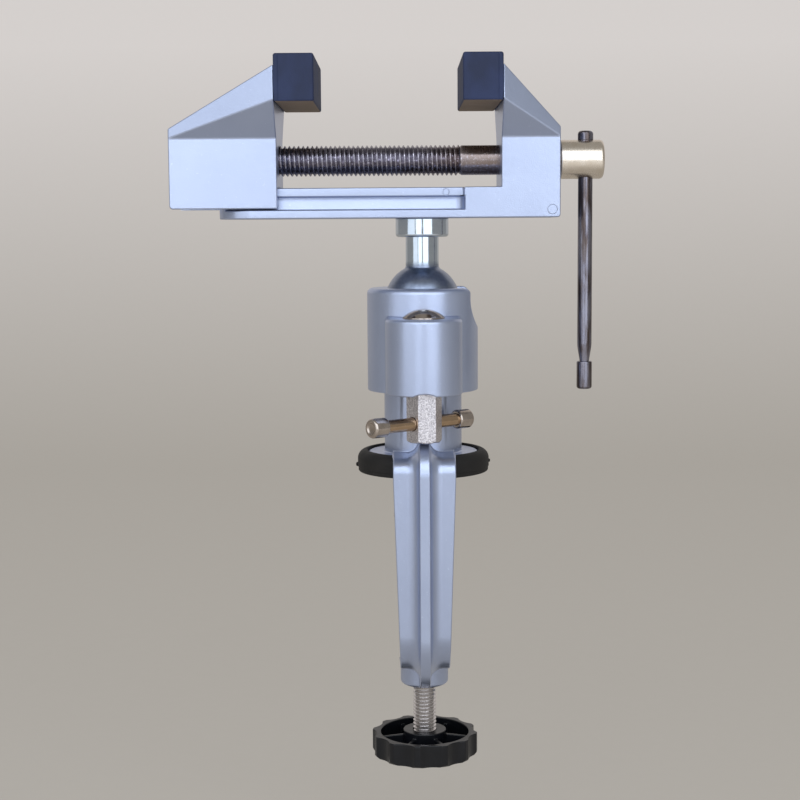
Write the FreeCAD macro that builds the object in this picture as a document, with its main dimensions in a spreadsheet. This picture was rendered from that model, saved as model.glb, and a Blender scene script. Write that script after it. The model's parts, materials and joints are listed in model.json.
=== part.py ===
"""Ball vise for a bench edge: a C-shaped clamp carries a lockable ball joint, and the ball's stud
carries a small vise with flared jaws, rubber jaw sleeves and a lead screw.

The origin is the centre of the rubber foot's underside, the plane of the bench top. +Z is up,
+X points from the moving jaw to the fixed one, and -Y is the side of the lock and the clamp's arm.
All sizes are millimetres. Every sub-part is one object with a Label of its own, written to parts/.
"""
import FreeCAD, Part
import math
import os
import re

import Sketcher

SIZES = {
    # foot and column of the clamp body
    "foot_radius": 22.0,
    "foot_height": 7.2,
    "foot_floor": 2.2,
    "foot_rounding": 3.0,
    "disc_radius": 18.7,
    "disc_top": 6.6,
    "column_radius": 12.9,
    "column_top": 43.0,
    # the arm that goes round the edge of the bench
    "arm_top": 7.4,
    "arm_under": 5.4,
    "arm_inner": 23.3,
    "arm_outer": 26.8,
    "arm_floor": 58.0,
    "arm_floor_under": 64.6,
    "arm_bend": 5.0,
    "arm_corner": 6.0,
    "arm_sweep": 14.0,
    "arm_width_top": 20.2,
    "arm_width_bottom": 16.4,
    "rib_width": 3.4,
    "rib_top": 12.0,
    "rib_depth": 6.0,
    "rib_bend": 10.0,
    "rib_blend": 4.3,
    "boss_radius": 8.1,
    "boss_top": 56.5,
    "boss_bottom": 73.5,
    # clamp screw, its plate and its knob
    "clamp_screw_radius": 3.95,
    "plate_radius": 10.0,
    "plate_rise": 5.4,
    "pad_thickness": 2.0,
    "bench_thickness": 12.6,
    "swivel_radius": 2.9,
    "swivel_drop": 3.7,
    "knob_radius": 18.0,
    "knob_rim_top": 90.5,
    "knob_bottom": 98.0,
    "knob_flutes": 12.0,
    "flute_radius": 7.3,
    "flute_depth": 1.4,
    "flute_turn": 6.3,
    "knob_hub_radius": 7.3,
    # ball, its seat and the housing that grips it
    "ball_height": 56.5,
    "ball_radius": 12.5,
    "ball_play": 0.06,
    "housing_radius": 18.4,
    "housing_bottom": 27.2,
    "housing_top": 61.2,
    "housing_bore": 13.1,
    "housing_rounding": 1.8,
    "socket_depth": 2.5,
    "seat_height": 7.2,
    "neck_flare": 1.2,
    "notch_half_width": 9.5,
    "notch_depth": 13.0,
    "neck_radius": 5.5,
    "collar_radius": 8.8,
    "collar_bottom": 77.9,
    "stud_radius": 4.0,
    # lug on the housing, and the lock
    "lock_offset": 25.3,
    "lug_radius": 12.25,
    "lug_cavity": 8.4,
    "lug_bottom": 28.3,
    "lug_roof": 47.6,
    "lug_top": 52.3,
    "lug_arch": 8.0,
    "tongue_radius": 7.2,
    "tongue_bottom": 30.4,
    "tongue_top": 42.5,
    "bolt_radius": 3.0,
    "bolt_head_radius": 6.7,
    "bolt_head_height": 2.7,
    "lock_nut_flats": 10.0,
    "lock_nut_bottom": 12.8,
    "lock_nut_top": 29.4,
    "lock_angle": 40.0,
    "lock_bar_height": 18.9,
    "lock_bar_radius": 2.1,
    "lock_bar_half": 20.6,
    "lock_bar_shift": 1.4,
    "cap_radius": 3.1,
    "cap_length": 5.8,
    # bed and fixed jaw
    "bed_left": -66.7,
    "bed_right": 44.5,
    "bed_half_width": 14.0,
    "bed_bottom": 84.05,
    "bed_plate": 2.75,
    "rail_under": 90.7,
    "rail_top": 94.0,
    "rail_half_width": 10.2,
    "waist_top": 8.2,
    "waist_bottom": 12.4,
    "groove_end": 13.5,
    "groove_corner": 3.4,
    "screw_height": 103.0,
    # both jaws
    "fixed_face": 25.5,
    "moving_face": -46.8,
    "moving_left": -81.6,
    "moving_bottom": 87.3,
    "shoulder": 109.9,
    "wing_under": 121.3,
    "wing_top": 132.1,
    "wing_outer_top": 113.0,
    "wing_half_width": 24.0,
    "slide_gap": 0.15,
    # rubber jaw sleeves and the metal tongues that they are pushed onto
    "sleeve_thickness": 12.75,
    "sleeve_bottom": 120.6,
    "sleeve_height": 15.0,
    "sleeve_half_width": 24.2,
    "tongue_reach": 9.4,
    "tongue_under": 124.4,
    "tongue_over": 130.8,
    "tongue_half_width": 21.0,
    # lead screw and the bar that turns it
    "lead_radius": 5.0,
    "lead_play": 0.06,
    "lead_left": -72.0,
    "thread_end": 13.5,
    "head_radius": 6.4,
    "head_left": 45.4,
    "head_right": 59.8,
    "bar_place": 54.0,
    "bar_radius": 2.4,
    "bar_bottom": 27.0,
    "bar_tip_height": 9.3,
    "bar_tip_radius": 2.55,
    "bar_neck_radius": 1.55,
    "bar_head_height": 2.9,
    "pin_radius": 1.25,
    "pin_place": 35.0,
}

doc = FreeCAD.newDocument("ball_vise")
sheet = doc.addObject("Spreadsheet::Sheet", "Sizes")
for row, (alias, number) in enumerate(SIZES.items(), 1):
    sheet.set(f"A{row}", alias)
    sheet.set(f"B{row}", str(number))
    sheet.setAlias(f"B{row}", alias)
doc.recompute()

SYMMETRIC = "Symmetric"
nodes = []


def named(expression):
    """The expression with every size's name turned into a reference to the sheet."""
    return re.sub("[a-z_]+", lambda word: "Sizes." * (word[0] in SIZES) + word[0], str(expression))


def value(expression):
    """The number that an expression of the sheet's names gives now."""
    return float(sheet.evalExpression(named(expression)))


def new_body(label):
    """An empty body, which becomes the node with that name."""
    body = doc.addObject("PartDesign::Body", label)
    body.Label = label
    nodes.append(body)
    return body


def settle(made):
    """Work a feature out, and stop if it failed."""
    doc.recompute()
    if "Invalid" in made.State or "Error" in made.State:
        raise RuntimeError(f"{made.Name} has failed: {made.State}")
    return made


def new_sketch(body, name, role, offset="0"):
    """A sketch on one of the body's own planes, moved along the plane's normal by offset."""
    sketch = body.newObject("Sketcher::SketchObject", name)
    plane = next(item for item in body.Origin.OriginFeatures if item.Role == role)
    sketch.AttachmentSupport = (plane, [""])
    sketch.MapMode = "FlatFace"
    sketch.setExpression("AttachmentOffset.Base.z", named(offset))
    doc.recompute()
    return sketch


def hold_point(sketch, geometry, point, corner):
    """Fix a point of the sketch at a corner, which is a pair of expressions."""
    for kind, axis, expression in (("DistanceX", -2, corner[0]), ("DistanceY", -1, corner[1])):
        if value(expression) == 0:
            sketch.addConstraint(Sketcher.Constraint("PointOnObject", geometry, point, axis))
            continue
        held = Sketcher.Constraint(kind, geometry, point, value(expression))
        place = sketch.addConstraint(held)
        sketch.setExpression(f"Constraints[{place}]", named(expression))


def arc_between(start, end, radius):
    """The shorter arc of that radius. Its centre is left of the way from start to end, or right of
    it if the radius is negative."""
    way = end - start
    left = FreeCAD.Vector(-way.y, way.x, 0).normalize() * math.copysign(1, radius)
    centre = start + way / 2 + left * math.sqrt(radius ** 2 - way.Length ** 2 / 4)
    angles = [math.atan2(point.y - centre.y, point.x - centre.x) for point in (start, end)]
    if radius < 0:
        angles.reverse()
    if angles[1] < angles[0]:
        angles[1] += 2 * math.pi
    return Part.ArcOfCircle(Part.Circle(centre, FreeCAD.Vector(0, 0, 1), abs(radius)), *angles)


def add_outline(sketch, corners):
    """A closed outline through corners given as pairs of expressions. Where a corner has a third
    expression, the edge that starts there is an arc of that radius, as arc_between makes it."""
    first = sketch.GeometryCount
    points = [FreeCAD.Vector(value(corner[0]), value(corner[1]), 0) for corner in corners]
    ends = []
    for corner, start, end in zip(corners, points, points[1:] + points[:1]):
        if len(corner) == 2:
            sketch.addGeometry(Part.LineSegment(start, end))
            ends.append((1, 2))
            continue
        radius = value(corner[2])
        made = sketch.addGeometry(arc_between(start, end, radius))
        ends.append((1, 2) if radius > 0 else (2, 1))
        size = sketch.addConstraint(Sketcher.Constraint("Radius", made, abs(radius)))
        sketch.setExpression(f"Constraints[{size}]", named(f"abs({corner[2]})"))
    for step, corner in enumerate(corners):
        after = (step + 1) % len(corners)
        joined = (first + step, ends[step][1], first + after, ends[after][0])
        sketch.addConstraint(Sketcher.Constraint("Coincident", *joined))
        hold_point(sketch, first + step, ends[step][0], corner)


def add_circle(sketch, centre, radius):
    """A circle whose centre is a pair of expressions."""
    spot = FreeCAD.Vector(value(centre[0]), value(centre[1]), 0)
    made = sketch.addGeometry(Part.Circle(spot, FreeCAD.Vector(0, 0, 1), value(radius)))
    hold_point(sketch, made, 3, centre)
    size = sketch.addConstraint(Sketcher.Constraint("Radius", made, value(radius)))
    sketch.setExpression(f"Constraints[{size}]", named(radius))


def feature(body, kind, sketch, length=None, side="One side", back=False):
    """A Pad or Pocket of a sketch. With no length a Pocket goes right through."""
    made = body.newObject("PartDesign::" + kind, f"{sketch.Name}_{kind}")
    made.Profile = sketch
    made.SideType = side
    made.Reversed = back
    if length is None:
        made.Type = "ThroughAll"
    else:
        made.setExpression("Length", named(length))
    return settle(made)


def turned(body, kind, sketch):
    """A Revolution or Groove of a sketch, a full turn about the sketch's own vertical axis."""
    made = body.newObject("PartDesign::" + kind, f"{sketch.Name}_{kind}")
    made.Profile = sketch
    made.ReferenceAxis = (sketch, ["V_Axis"])
    made.Angle = 360
    return settle(made)


def edges_of(body, wanted):
    """The names of the edges of the body's last feature for which wanted(edge) is true."""
    shape = body.Tip.Shape
    return [f"Edge{place}" for place, edge in enumerate(shape.Edges, 1)
            if not edge.Degenerated and wanted(edge)]


def soften(body, kind, size, wanted):
    """A Fillet or Chamfer along the edges for which wanted(edge) is true."""
    base = body.Tip
    names = edges_of(body, wanted)
    if not names:
        raise RuntimeError(f"{body.Label}: no edge to {kind.lower()}")
    made = body.newObject("PartDesign::" + kind, f"{body.Name}_{kind}")
    made.Base = (base, names)
    made.setExpression("Radius" if kind == "Fillet" else "Size", named(size))
    return settle(made)


def middle(edge):
    """The middle point of an edge."""
    return edge.valueAt((edge.FirstParameter + edge.LastParameter) / 2)


def near(number, expression, slack=0.02):
    """Whether a number is the value of an expression."""
    return abs(number - value(expression)) < slack


def runs_along(edge, axis):
    """Whether a straight edge runs along an axis, 0 for X, 1 for Y and 2 for Z."""
    if not isinstance(edge.Curve, Part.Line):
        return False
    return abs(abs(edge.Curve.Direction[axis]) - 1) < 1e-6


def is_ring(edge, radius, height):
    """Whether an edge goes round the Z axis at that radius and height."""
    spot = middle(edge)
    return near(math.hypot(spot.x, spot.y), radius) and near(spot.z, height)


# ---------------------------------------------------------------- clamp body and foot


def make_clamp_body():
    """The casting that stands on the bench: disc, column, lock tongue, ribbed arm and lower boss."""
    body = new_body("clamp_body")
    band = new_sketch(body, "arm_band", "YZ_Plane")
    add_outline(band, [
        ("-8", "arm_top"), ("-arm_outer + arm_bend", "arm_top", "arm_bend"),
        ("-arm_outer", "arm_top - arm_bend"),
        ("-arm_outer", "-arm_floor_under + arm_sweep", "arm_sweep"),
        ("-arm_outer + arm_sweep", "-arm_floor_under"), ("0", "-arm_floor_under"),
        ("0", "-arm_floor"), ("-arm_inner + arm_corner", "-arm_floor", "-arm_corner"),
        ("-arm_inner", "-arm_floor + arm_corner"), ("-arm_inner", "arm_under"),
        ("-8", "arm_under")])
    feature(body, "Pad", band, "arm_width_top + 2", SYMMETRIC)
    taper = new_sketch(body, "arm_taper", "XZ_Plane")
    for side in ("", "-"):
        add_outline(taper, [
            (f"{side}arm_width_top / 2", "arm_top + 1"), (f"{side}arm_width_top / 2", "0"),
            (f"{side}arm_width_bottom / 2", "-arm_floor"),
            (f"{side}arm_width_bottom / 2", "-arm_floor_under - 1"),
            (f"{side}arm_width_top * 0.75", "-arm_floor_under - 1"),
            (f"{side}arm_width_top * 0.75", "arm_top + 1")])
    feature(body, "Pocket", taper, None, SYMMETRIC)
    rib = new_sketch(body, "arm_rib", "YZ_Plane")
    add_outline(rib, [
        ("-8", "rib_top"), ("-arm_outer - rib_depth + rib_bend", "rib_top", "rib_bend"),
        ("-arm_outer - rib_depth", "rib_top - rib_bend"),
        ("-arm_outer - rib_depth", "-arm_floor_under + arm_sweep", "arm_sweep + rib_depth"),
        ("-arm_outer + arm_sweep", "-arm_floor_under - rib_depth"),
        ("-boss_radius + 1", "-boss_bottom"), ("0", "-boss_bottom"), ("0", "-arm_floor - 3"),
        ("-arm_inner + 5", "-arm_floor - 3"), ("-arm_inner - 2", "-arm_floor + arm_corner"),
        ("-arm_inner - 0.5", "arm_under + 0.5"),
        ("-8", "arm_under + 0.5")])
    feature(body, "Pad", rib, "rib_width", SYMMETRIC)
    soften(body, "Fillet", "rib_blend", lambda edge: near(abs(middle(edge).x), "rib_width / 2")
           and is_on_band(middle(edge)))
    disc = new_sketch(body, "disc_and_column", "XZ_Plane")
    add_outline(disc, [
        ("0", "foot_floor"), ("disc_radius", "foot_floor"), ("disc_radius", "disc_top - 0.7"),
        ("disc_radius - 0.7", "disc_top"), ("column_radius", "disc_top"),
        ("column_radius", "column_top"), ("0", "column_top")])
    turned(body, "Revolution", disc)
    boss = new_sketch(body, "lower_boss", "XZ_Plane")
    add_outline(boss, [
        ("0", "-boss_bottom"), ("boss_radius - 0.8", "-boss_bottom"),
        ("boss_radius", "-boss_bottom + 0.8"), ("boss_radius", "-boss_top - 0.5"),
        ("boss_radius - 0.5", "-boss_top"), ("0", "-boss_top")])
    turned(body, "Revolution", boss)
    tapped = new_sketch(body, "clamp_thread_bore", "XY_Plane", "-boss_bottom")
    add_circle(tapped, ("0", "0"), "clamp_screw_radius + lead_play")
    feature(body, "Pocket", tapped, "boss_bottom - boss_top", back=True)
    tongue = new_sketch(body, "lock_tongue", "XY_Plane", "tongue_bottom")
    add_outline(tongue, [
        ("tongue_radius", "-8"), ("-tongue_radius", "-8"), ("-tongue_radius", "-lock_offset"),
        ("tongue_radius", "-lock_offset")])
    feature(body, "Pad", tongue, "tongue_top - tongue_bottom")
    tongue_end = new_sketch(body, "lock_tongue_end", "XY_Plane", "tongue_bottom")
    add_circle(tongue_end, ("0", "-lock_offset"), "tongue_radius")
    feature(body, "Pad", tongue_end, "tongue_top - tongue_bottom")
    bolt_way = new_sketch(body, "bolt_way", "XY_Plane", "tongue_bottom")
    add_circle(bolt_way, ("0", "-lock_offset"), "bolt_radius + 0.3")
    feature(body, "Pocket", bolt_way, "tongue_top - tongue_bottom", back=True)
    return body


def is_on_band(point):
    """Whether a point lies within the side outline of the arm's band."""
    in_depth = point.y > -value("arm_outer") - 0.1
    return in_depth and -value("arm_floor_under") - 0.1 < point.z < value("arm_top") + 0.1


def make_foot_pad():
    """The rubber boot round the disc, which stands on the bench. Its lip is open where the arm
    passes."""
    body = new_body("foot_pad")
    ring = new_sketch(body, "boot", "XZ_Plane")
    add_outline(ring, [
        ("0", "0"), ("foot_radius", "0"),
        ("foot_radius", "foot_height - foot_rounding", "foot_rounding"),
        ("foot_radius - foot_rounding", "foot_height"), ("disc_radius", "foot_height"),
        ("disc_radius", "foot_floor"), ("0", "foot_floor")])
    turned(body, "Revolution", ring)
    arm_way = new_sketch(body, "arm_way", "XY_Plane", "arm_under - 0.1")
    half = "arm_width_top / 2 + 0.3"
    add_outline(arm_way, [
        (half, "-foot_radius - 1"), (half, "-disc_radius / 2"), (f"-({half})", "-disc_radius / 2"),
        (f"-({half})", "-foot_radius - 1")])
    feature(body, "Pocket", arm_way, "foot_height", back=True)
    return body


# ---------------------------------------------------------------- ball joint and its lock


def socket_at(rise):
    """The ball socket's radius at a height above or below the ball's centre."""
    return f"sqrt((ball_radius + ball_play) ^ 2 - ({rise}) ^ 2)"


def make_ball_housing():
    """The notched cap over the ball, with the hollow lug that covers the clamp body's tongue."""
    body = new_body("ball_housing")
    shell = new_sketch(body, "housing_shell", "XZ_Plane")
    add_outline(shell, [
        ("0", "housing_bottom"), ("housing_radius", "housing_bottom"),
        ("housing_radius", "housing_top - housing_rounding", "housing_rounding"),
        ("housing_radius - housing_rounding", "housing_top"), ("0", "housing_top")])
    turned(body, "Revolution", shell)
    lug = new_sketch(body, "lug_sides", "XY_Plane", "lug_bottom")
    add_outline(lug, [
        ("lug_radius", "-10"), ("-lug_radius", "-10"), ("-lug_radius", "-lock_offset"),
        ("lug_radius", "-lock_offset")])
    feature(body, "Pad", lug, "lug_top - lug_bottom")
    lug_front = new_sketch(body, "lug_front", "XY_Plane", "lug_bottom")
    add_circle(lug_front, ("0", "-lock_offset"), "lug_radius")
    feature(body, "Pad", lug_front, "lug_top - lug_bottom")
    soften(body, "Fillet", "1.2", lambda edge: near(middle(edge).z, "lug_top")
           and middle(edge).y < -value("housing_radius"))
    bore = new_sketch(body, "bore_and_socket", "XZ_Plane")
    lip = socket_at("housing_top - ball_height")
    add_outline(bore, [
        ("0", "housing_bottom - 1"), ("housing_bore", "housing_bottom - 1"),
        ("housing_bore", "ball_height - socket_depth"),
        (socket_at("socket_depth"), "ball_height - socket_depth", "ball_radius + ball_play"),
        (lip, "housing_top"), (lip, "housing_top + 1"), ("0", "housing_top + 1")])
    turned(body, "Groove", bore)
    cavity = new_sketch(body, "lug_cavity_way", "XY_Plane", "housing_bottom")
    add_outline(cavity, [
        ("lug_cavity", "-6"), ("-lug_cavity", "-6"), ("-lug_cavity", "-lock_offset"),
        ("lug_cavity", "-lock_offset")])
    feature(body, "Pocket", cavity, "lug_roof - housing_bottom", back=True)
    cavity_end = new_sketch(body, "lug_cavity_end", "XY_Plane", "housing_bottom")
    add_circle(cavity_end, ("0", "-lock_offset"), "lug_cavity")
    feature(body, "Pocket", cavity_end, "lug_roof - housing_bottom", back=True)
    square = new_sketch(body, "square_hole", "XY_Plane", "lug_roof")
    half = "bolt_radius + 0.1"
    add_outline(square, [
        (f"{half}", f"-lock_offset - ({half})"), (f"{half}", f"-lock_offset + {half}"),
        (f"-({half})", f"-lock_offset + {half}"), (f"-({half})", f"-lock_offset - ({half})")])
    feature(body, "Pocket", square, "lug_top - lug_roof", back=True)
    arch = new_sketch(body, "lug_arch", "XZ_Plane", "lock_offset + lug_cavity - 1")
    add_circle(arch, ("0", "lug_bottom + 0.9 - lug_arch"), "lug_arch")
    feature(body, "Pocket", arch, "lug_radius - lug_cavity + 3", back=True)
    notch = new_sketch(body, "notch", "YZ_Plane")
    floor = "housing_top - notch_depth + notch_half_width"
    add_outline(notch, [
        ("notch_half_width", floor), ("notch_half_width", "housing_top + 1"),
        ("-notch_half_width", "housing_top + 1"), ("-notch_half_width", floor)])
    feature(body, "Pocket", notch, "housing_radius + 1", back=True)
    notch_floor = new_sketch(body, "notch_floor", "YZ_Plane")
    add_circle(notch_floor, ("0", floor), "notch_half_width")
    feature(body, "Pocket", notch_floor, "housing_radius + 1", back=True)
    return body


def make_lock_bolt():
    """The cup-head bolt that holds the housing down. Its square neck can't turn in the lug."""
    body = new_body("lock_bolt")
    body.setExpression("Placement.Base.y", named("-lock_offset"))
    shank = new_sketch(body, "bolt_shank", "XY_Plane", "lock_nut_bottom + 10")
    add_circle(shank, ("0", "0"), "bolt_radius")
    feature(body, "Pad", shank, "lug_top - lock_nut_bottom - 10")
    neck = new_sketch(body, "bolt_neck", "XY_Plane", "lug_top - 4")
    add_outline(neck, [
        ("bolt_radius", "-bolt_radius"), ("bolt_radius", "bolt_radius"),
        ("-bolt_radius", "bolt_radius"), ("-bolt_radius", "-bolt_radius")])
    feature(body, "Pad", neck, "4")
    dome = new_sketch(body, "bolt_head", "XZ_Plane")
    crown = "(bolt_head_radius ^ 2 + bolt_head_height ^ 2) / (2 * bolt_head_height)"
    add_outline(dome, [
        ("0", "lug_top"), ("bolt_head_radius", "lug_top"),
        ("bolt_head_radius", "lug_top + 0.4", crown),
        ("0", "lug_top + 0.4 + bolt_head_height")])
    turned(body, "Revolution", dome)
    return body


def make_lock_washer():
    """The washer between the lock nut and the tongue."""
    body = new_body("lock_washer")
    body.setExpression("Placement.Base.y", named("-lock_offset"))
    ring = new_sketch(body, "lock_washer_ring", "XY_Plane", "lock_nut_top")
    add_circle(ring, ("0", "0"), "bolt_radius * 2")
    add_circle(ring, ("0", "0"), "bolt_radius + 0.2")
    feature(body, "Pad", ring, "tongue_bottom - lock_nut_top")
    return body


def place_with_lock(body):
    """Turn and move a piece of the lock from its own axes to the place of the bolt."""
    body.setExpression("Placement.Base.y", named("-lock_offset"))
    body.Placement.Rotation = FreeCAD.Rotation(FreeCAD.Vector(0, 0, 1), value("lock_angle"))
    body.setExpression("Placement.Rotation.Angle", named("lock_angle"))


def make_lock_nut():
    """The long hexagon nut under the tongue, with a cross hole for its bar."""
    body = new_body("lock_nut")
    hexagon = new_sketch(body, "nut_hexagon", "XY_Plane", "lock_nut_bottom")
    across = "lock_nut_flats / 2"
    point = f"{across} / cos(30)"
    add_outline(hexagon, [
        (f"{across}", f"-{across} * tan(30)"), (f"{across}", f"{across} * tan(30)"),
        ("0", point), (f"-{across}", f"{across} * tan(30)"),
        (f"-{across}", f"-{across} * tan(30)"), ("0", f"-{point}")])
    feature(body, "Pad", hexagon, "lock_nut_top - lock_nut_bottom")
    crowns = new_sketch(body, "nut_crowns", "XZ_Plane")
    for end, way in (("lock_nut_bottom", "+"), ("lock_nut_top", "-")):
        add_outline(crowns, [
            (f"{across} - 0.1", end), (f"{point} + 0.2", end), (f"{point} + 0.2", f"{end} {way} 0.8")])
    turned(body, "Groove", crowns)
    thread = new_sketch(body, "nut_bore", "XY_Plane", "lock_nut_top")
    add_circle(thread, ("0", "0"), "bolt_radius + lead_play")
    feature(body, "Pocket", thread, "lock_nut_top - lock_nut_bottom - 9.5")
    cross = new_sketch(body, "nut_cross_hole", "YZ_Plane")
    add_circle(cross, ("0", "lock_bar_height"), "lock_bar_radius + 0.1")
    feature(body, "Pocket", cross, None, SYMMETRIC)
    place_with_lock(body)
    return body


def make_lock_bar():
    """The sliding bar through the lock nut."""
    body = new_body("lock_bar")
    rod = new_sketch(body, "lock_rod", "YZ_Plane", "-lock_bar_shift")
    add_circle(rod, ("0", "lock_bar_height"), "lock_bar_radius")
    feature(body, "Pad", rod, "(lock_bar_half - 1.2) * 2", SYMMETRIC)
    place_with_lock(body)
    return body


def make_lock_bar_cap(label, back):
    """A round cap pressed on one end of the lock bar."""
    body = new_body(label)
    sign = "-" if back else ""
    start = f"{sign}(lock_bar_half - cap_length) - lock_bar_shift"
    cap = new_sketch(body, label + "_round", "YZ_Plane", start)
    add_circle(cap, ("0", "lock_bar_height"), "cap_radius")
    feature(body, "Pad", cap, "cap_length", back=back)
    seat = new_sketch(body, label + "_seat", "YZ_Plane", start)
    add_circle(seat, ("0", "lock_bar_height"), "lock_bar_radius")
    feature(body, "Pocket", seat, "cap_length - 1.2", back=not back)
    soften(body, "Chamfer", "0.8", lambda edge: near(
        math.hypot(middle(edge).y, middle(edge).z - value("lock_bar_height")), "cap_radius")
        and not runs_along(edge, 0))
    place_with_lock(body)
    return body


def make_ball_seat():
    """The ring under the ball, which turns with it on the column's flat top."""
    body = new_body("ball_seat")
    ring = new_sketch(body, "seat_ring", "XZ_Plane")
    top = "column_top + seat_height"
    add_outline(ring, [
        ("ball_radius / 2", "column_top + 0.05"), ("column_radius - 0.1", "column_top + 0.05"),
        ("column_radius - 0.1", top),
        (socket_at("ball_height - column_top - seat_height"), top, "-ball_radius - ball_play"),
        ("ball_radius / 2", f"ball_height - {socket_at('ball_radius / 2')}")])
    turned(body, "Revolution", ring)
    return body


def make_ball_stud():
    """Ball, neck, collar and the plain stud that the vise bed turns on, all one piece."""
    body = new_body("ball_stud")
    stem = new_sketch(body, "stud_profile", "XZ_Plane")
    flare = "sqrt((ball_radius + neck_flare) ^ 2 - (neck_radius + neck_flare) ^ 2)"
    share = "ball_radius / (ball_radius + neck_flare)"
    add_outline(stem, [
        ("0", "ball_height - ball_radius", "ball_radius"),
        (f"(neck_radius + neck_flare) * {share}", f"ball_height + {flare} * {share}",
         "-neck_flare"),
        ("neck_radius", f"ball_height + {flare}"), ("neck_radius", "collar_bottom"),
        ("collar_radius - 1", "collar_bottom", "1"), ("collar_radius", "collar_bottom + 1"),
        ("collar_radius", "bed_bottom - 0.05"), ("stud_radius", "bed_bottom - 0.05"),
        ("stud_radius", "rail_top - 1.2"), ("stud_radius - 0.8", "rail_top - 1.2"),
        ("stud_radius - 0.8", "rail_top - 0.2"), ("0", "rail_top - 0.2")])
    turned(body, "Revolution", stem)
    return body


def make_stud_clip():
    """The ring that keeps the bed on the stud, in a round recess of the bed's top."""
    body = new_body("stud_clip")
    ring = new_sketch(body, "stud_clip_ring", "XY_Plane", "rail_top - 1.2")
    add_circle(ring, ("0", "0"), "stud_radius + 2.2")
    add_circle(ring, ("0", "0"), "stud_radius - 0.8")
    feature(body, "Pad", ring, "0.9")
    return body


# ---------------------------------------------------------------- bed and jaws


def add_jaw(body, prefix, face, back, bottom, reach):
    """A jaw: block, flared wing and the tongue for its sleeve, which points to reach."""
    block = new_sketch(body, prefix + "_block", "XZ_Plane")
    add_outline(block, [
        (face, bottom), (back, bottom), (back, "shoulder"), (face, "shoulder")])
    feature(body, "Pad", block, "bed_half_width * 2", SYMMETRIC)
    wing = new_sketch(body, prefix + "_wing", "XZ_Plane")
    add_outline(wing, [
        (face, "shoulder - 1"), (back, "shoulder - 1"), (back, "wing_outer_top"),
        (face, "wing_top")])
    feature(body, "Pad", wing, "wing_half_width * 2", SYMMETRIC)
    flare = new_sketch(body, prefix + "_flare", "XY_Plane", "shoulder - 1")
    for side in ("", "-"):
        add_outline(flare, [
            (face, f"{side}wing_half_width"), (back, f"{side}bed_half_width"),
            (back, f"{side}wing_half_width * 1.2"), (face, f"{side}wing_half_width * 1.2")])
    feature(body, "Pocket", flare, "wing_top - shoulder + 2", back=True)
    under = new_sketch(body, prefix + "_under", "YZ_Plane")
    slope = "(wing_under - shoulder) / (wing_half_width - bed_half_width)"
    for side in ("", "-"):
        add_outline(under, [
            (f"{side}bed_half_width", "shoulder"), (f"{side}bed_half_width", "shoulder - 2"),
            (f"{side}(wing_half_width + 2)", "shoulder - 2"),
            (f"{side}(wing_half_width + 2)", f"wing_under + 2 * {slope}")])
    feature(body, "Pocket", under, None, SYMMETRIC)
    tongue = new_sketch(body, prefix + "_tongue", "XZ_Plane")
    add_outline(tongue, [
        (face, "tongue_under"), (reach, "tongue_under"), (reach, "tongue_over"),
        (face, "tongue_over")])
    feature(body, "Pad", tongue, "tongue_half_width * 2", SYMMETRIC)


def add_bore(body, name, radius):
    """A round hole right through along X, on the lead screw's line."""
    bore = new_sketch(body, name, "YZ_Plane")
    add_circle(bore, ("0", "screw_height"), radius)
    feature(body, "Pocket", bore, None, SYMMETRIC)


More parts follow.
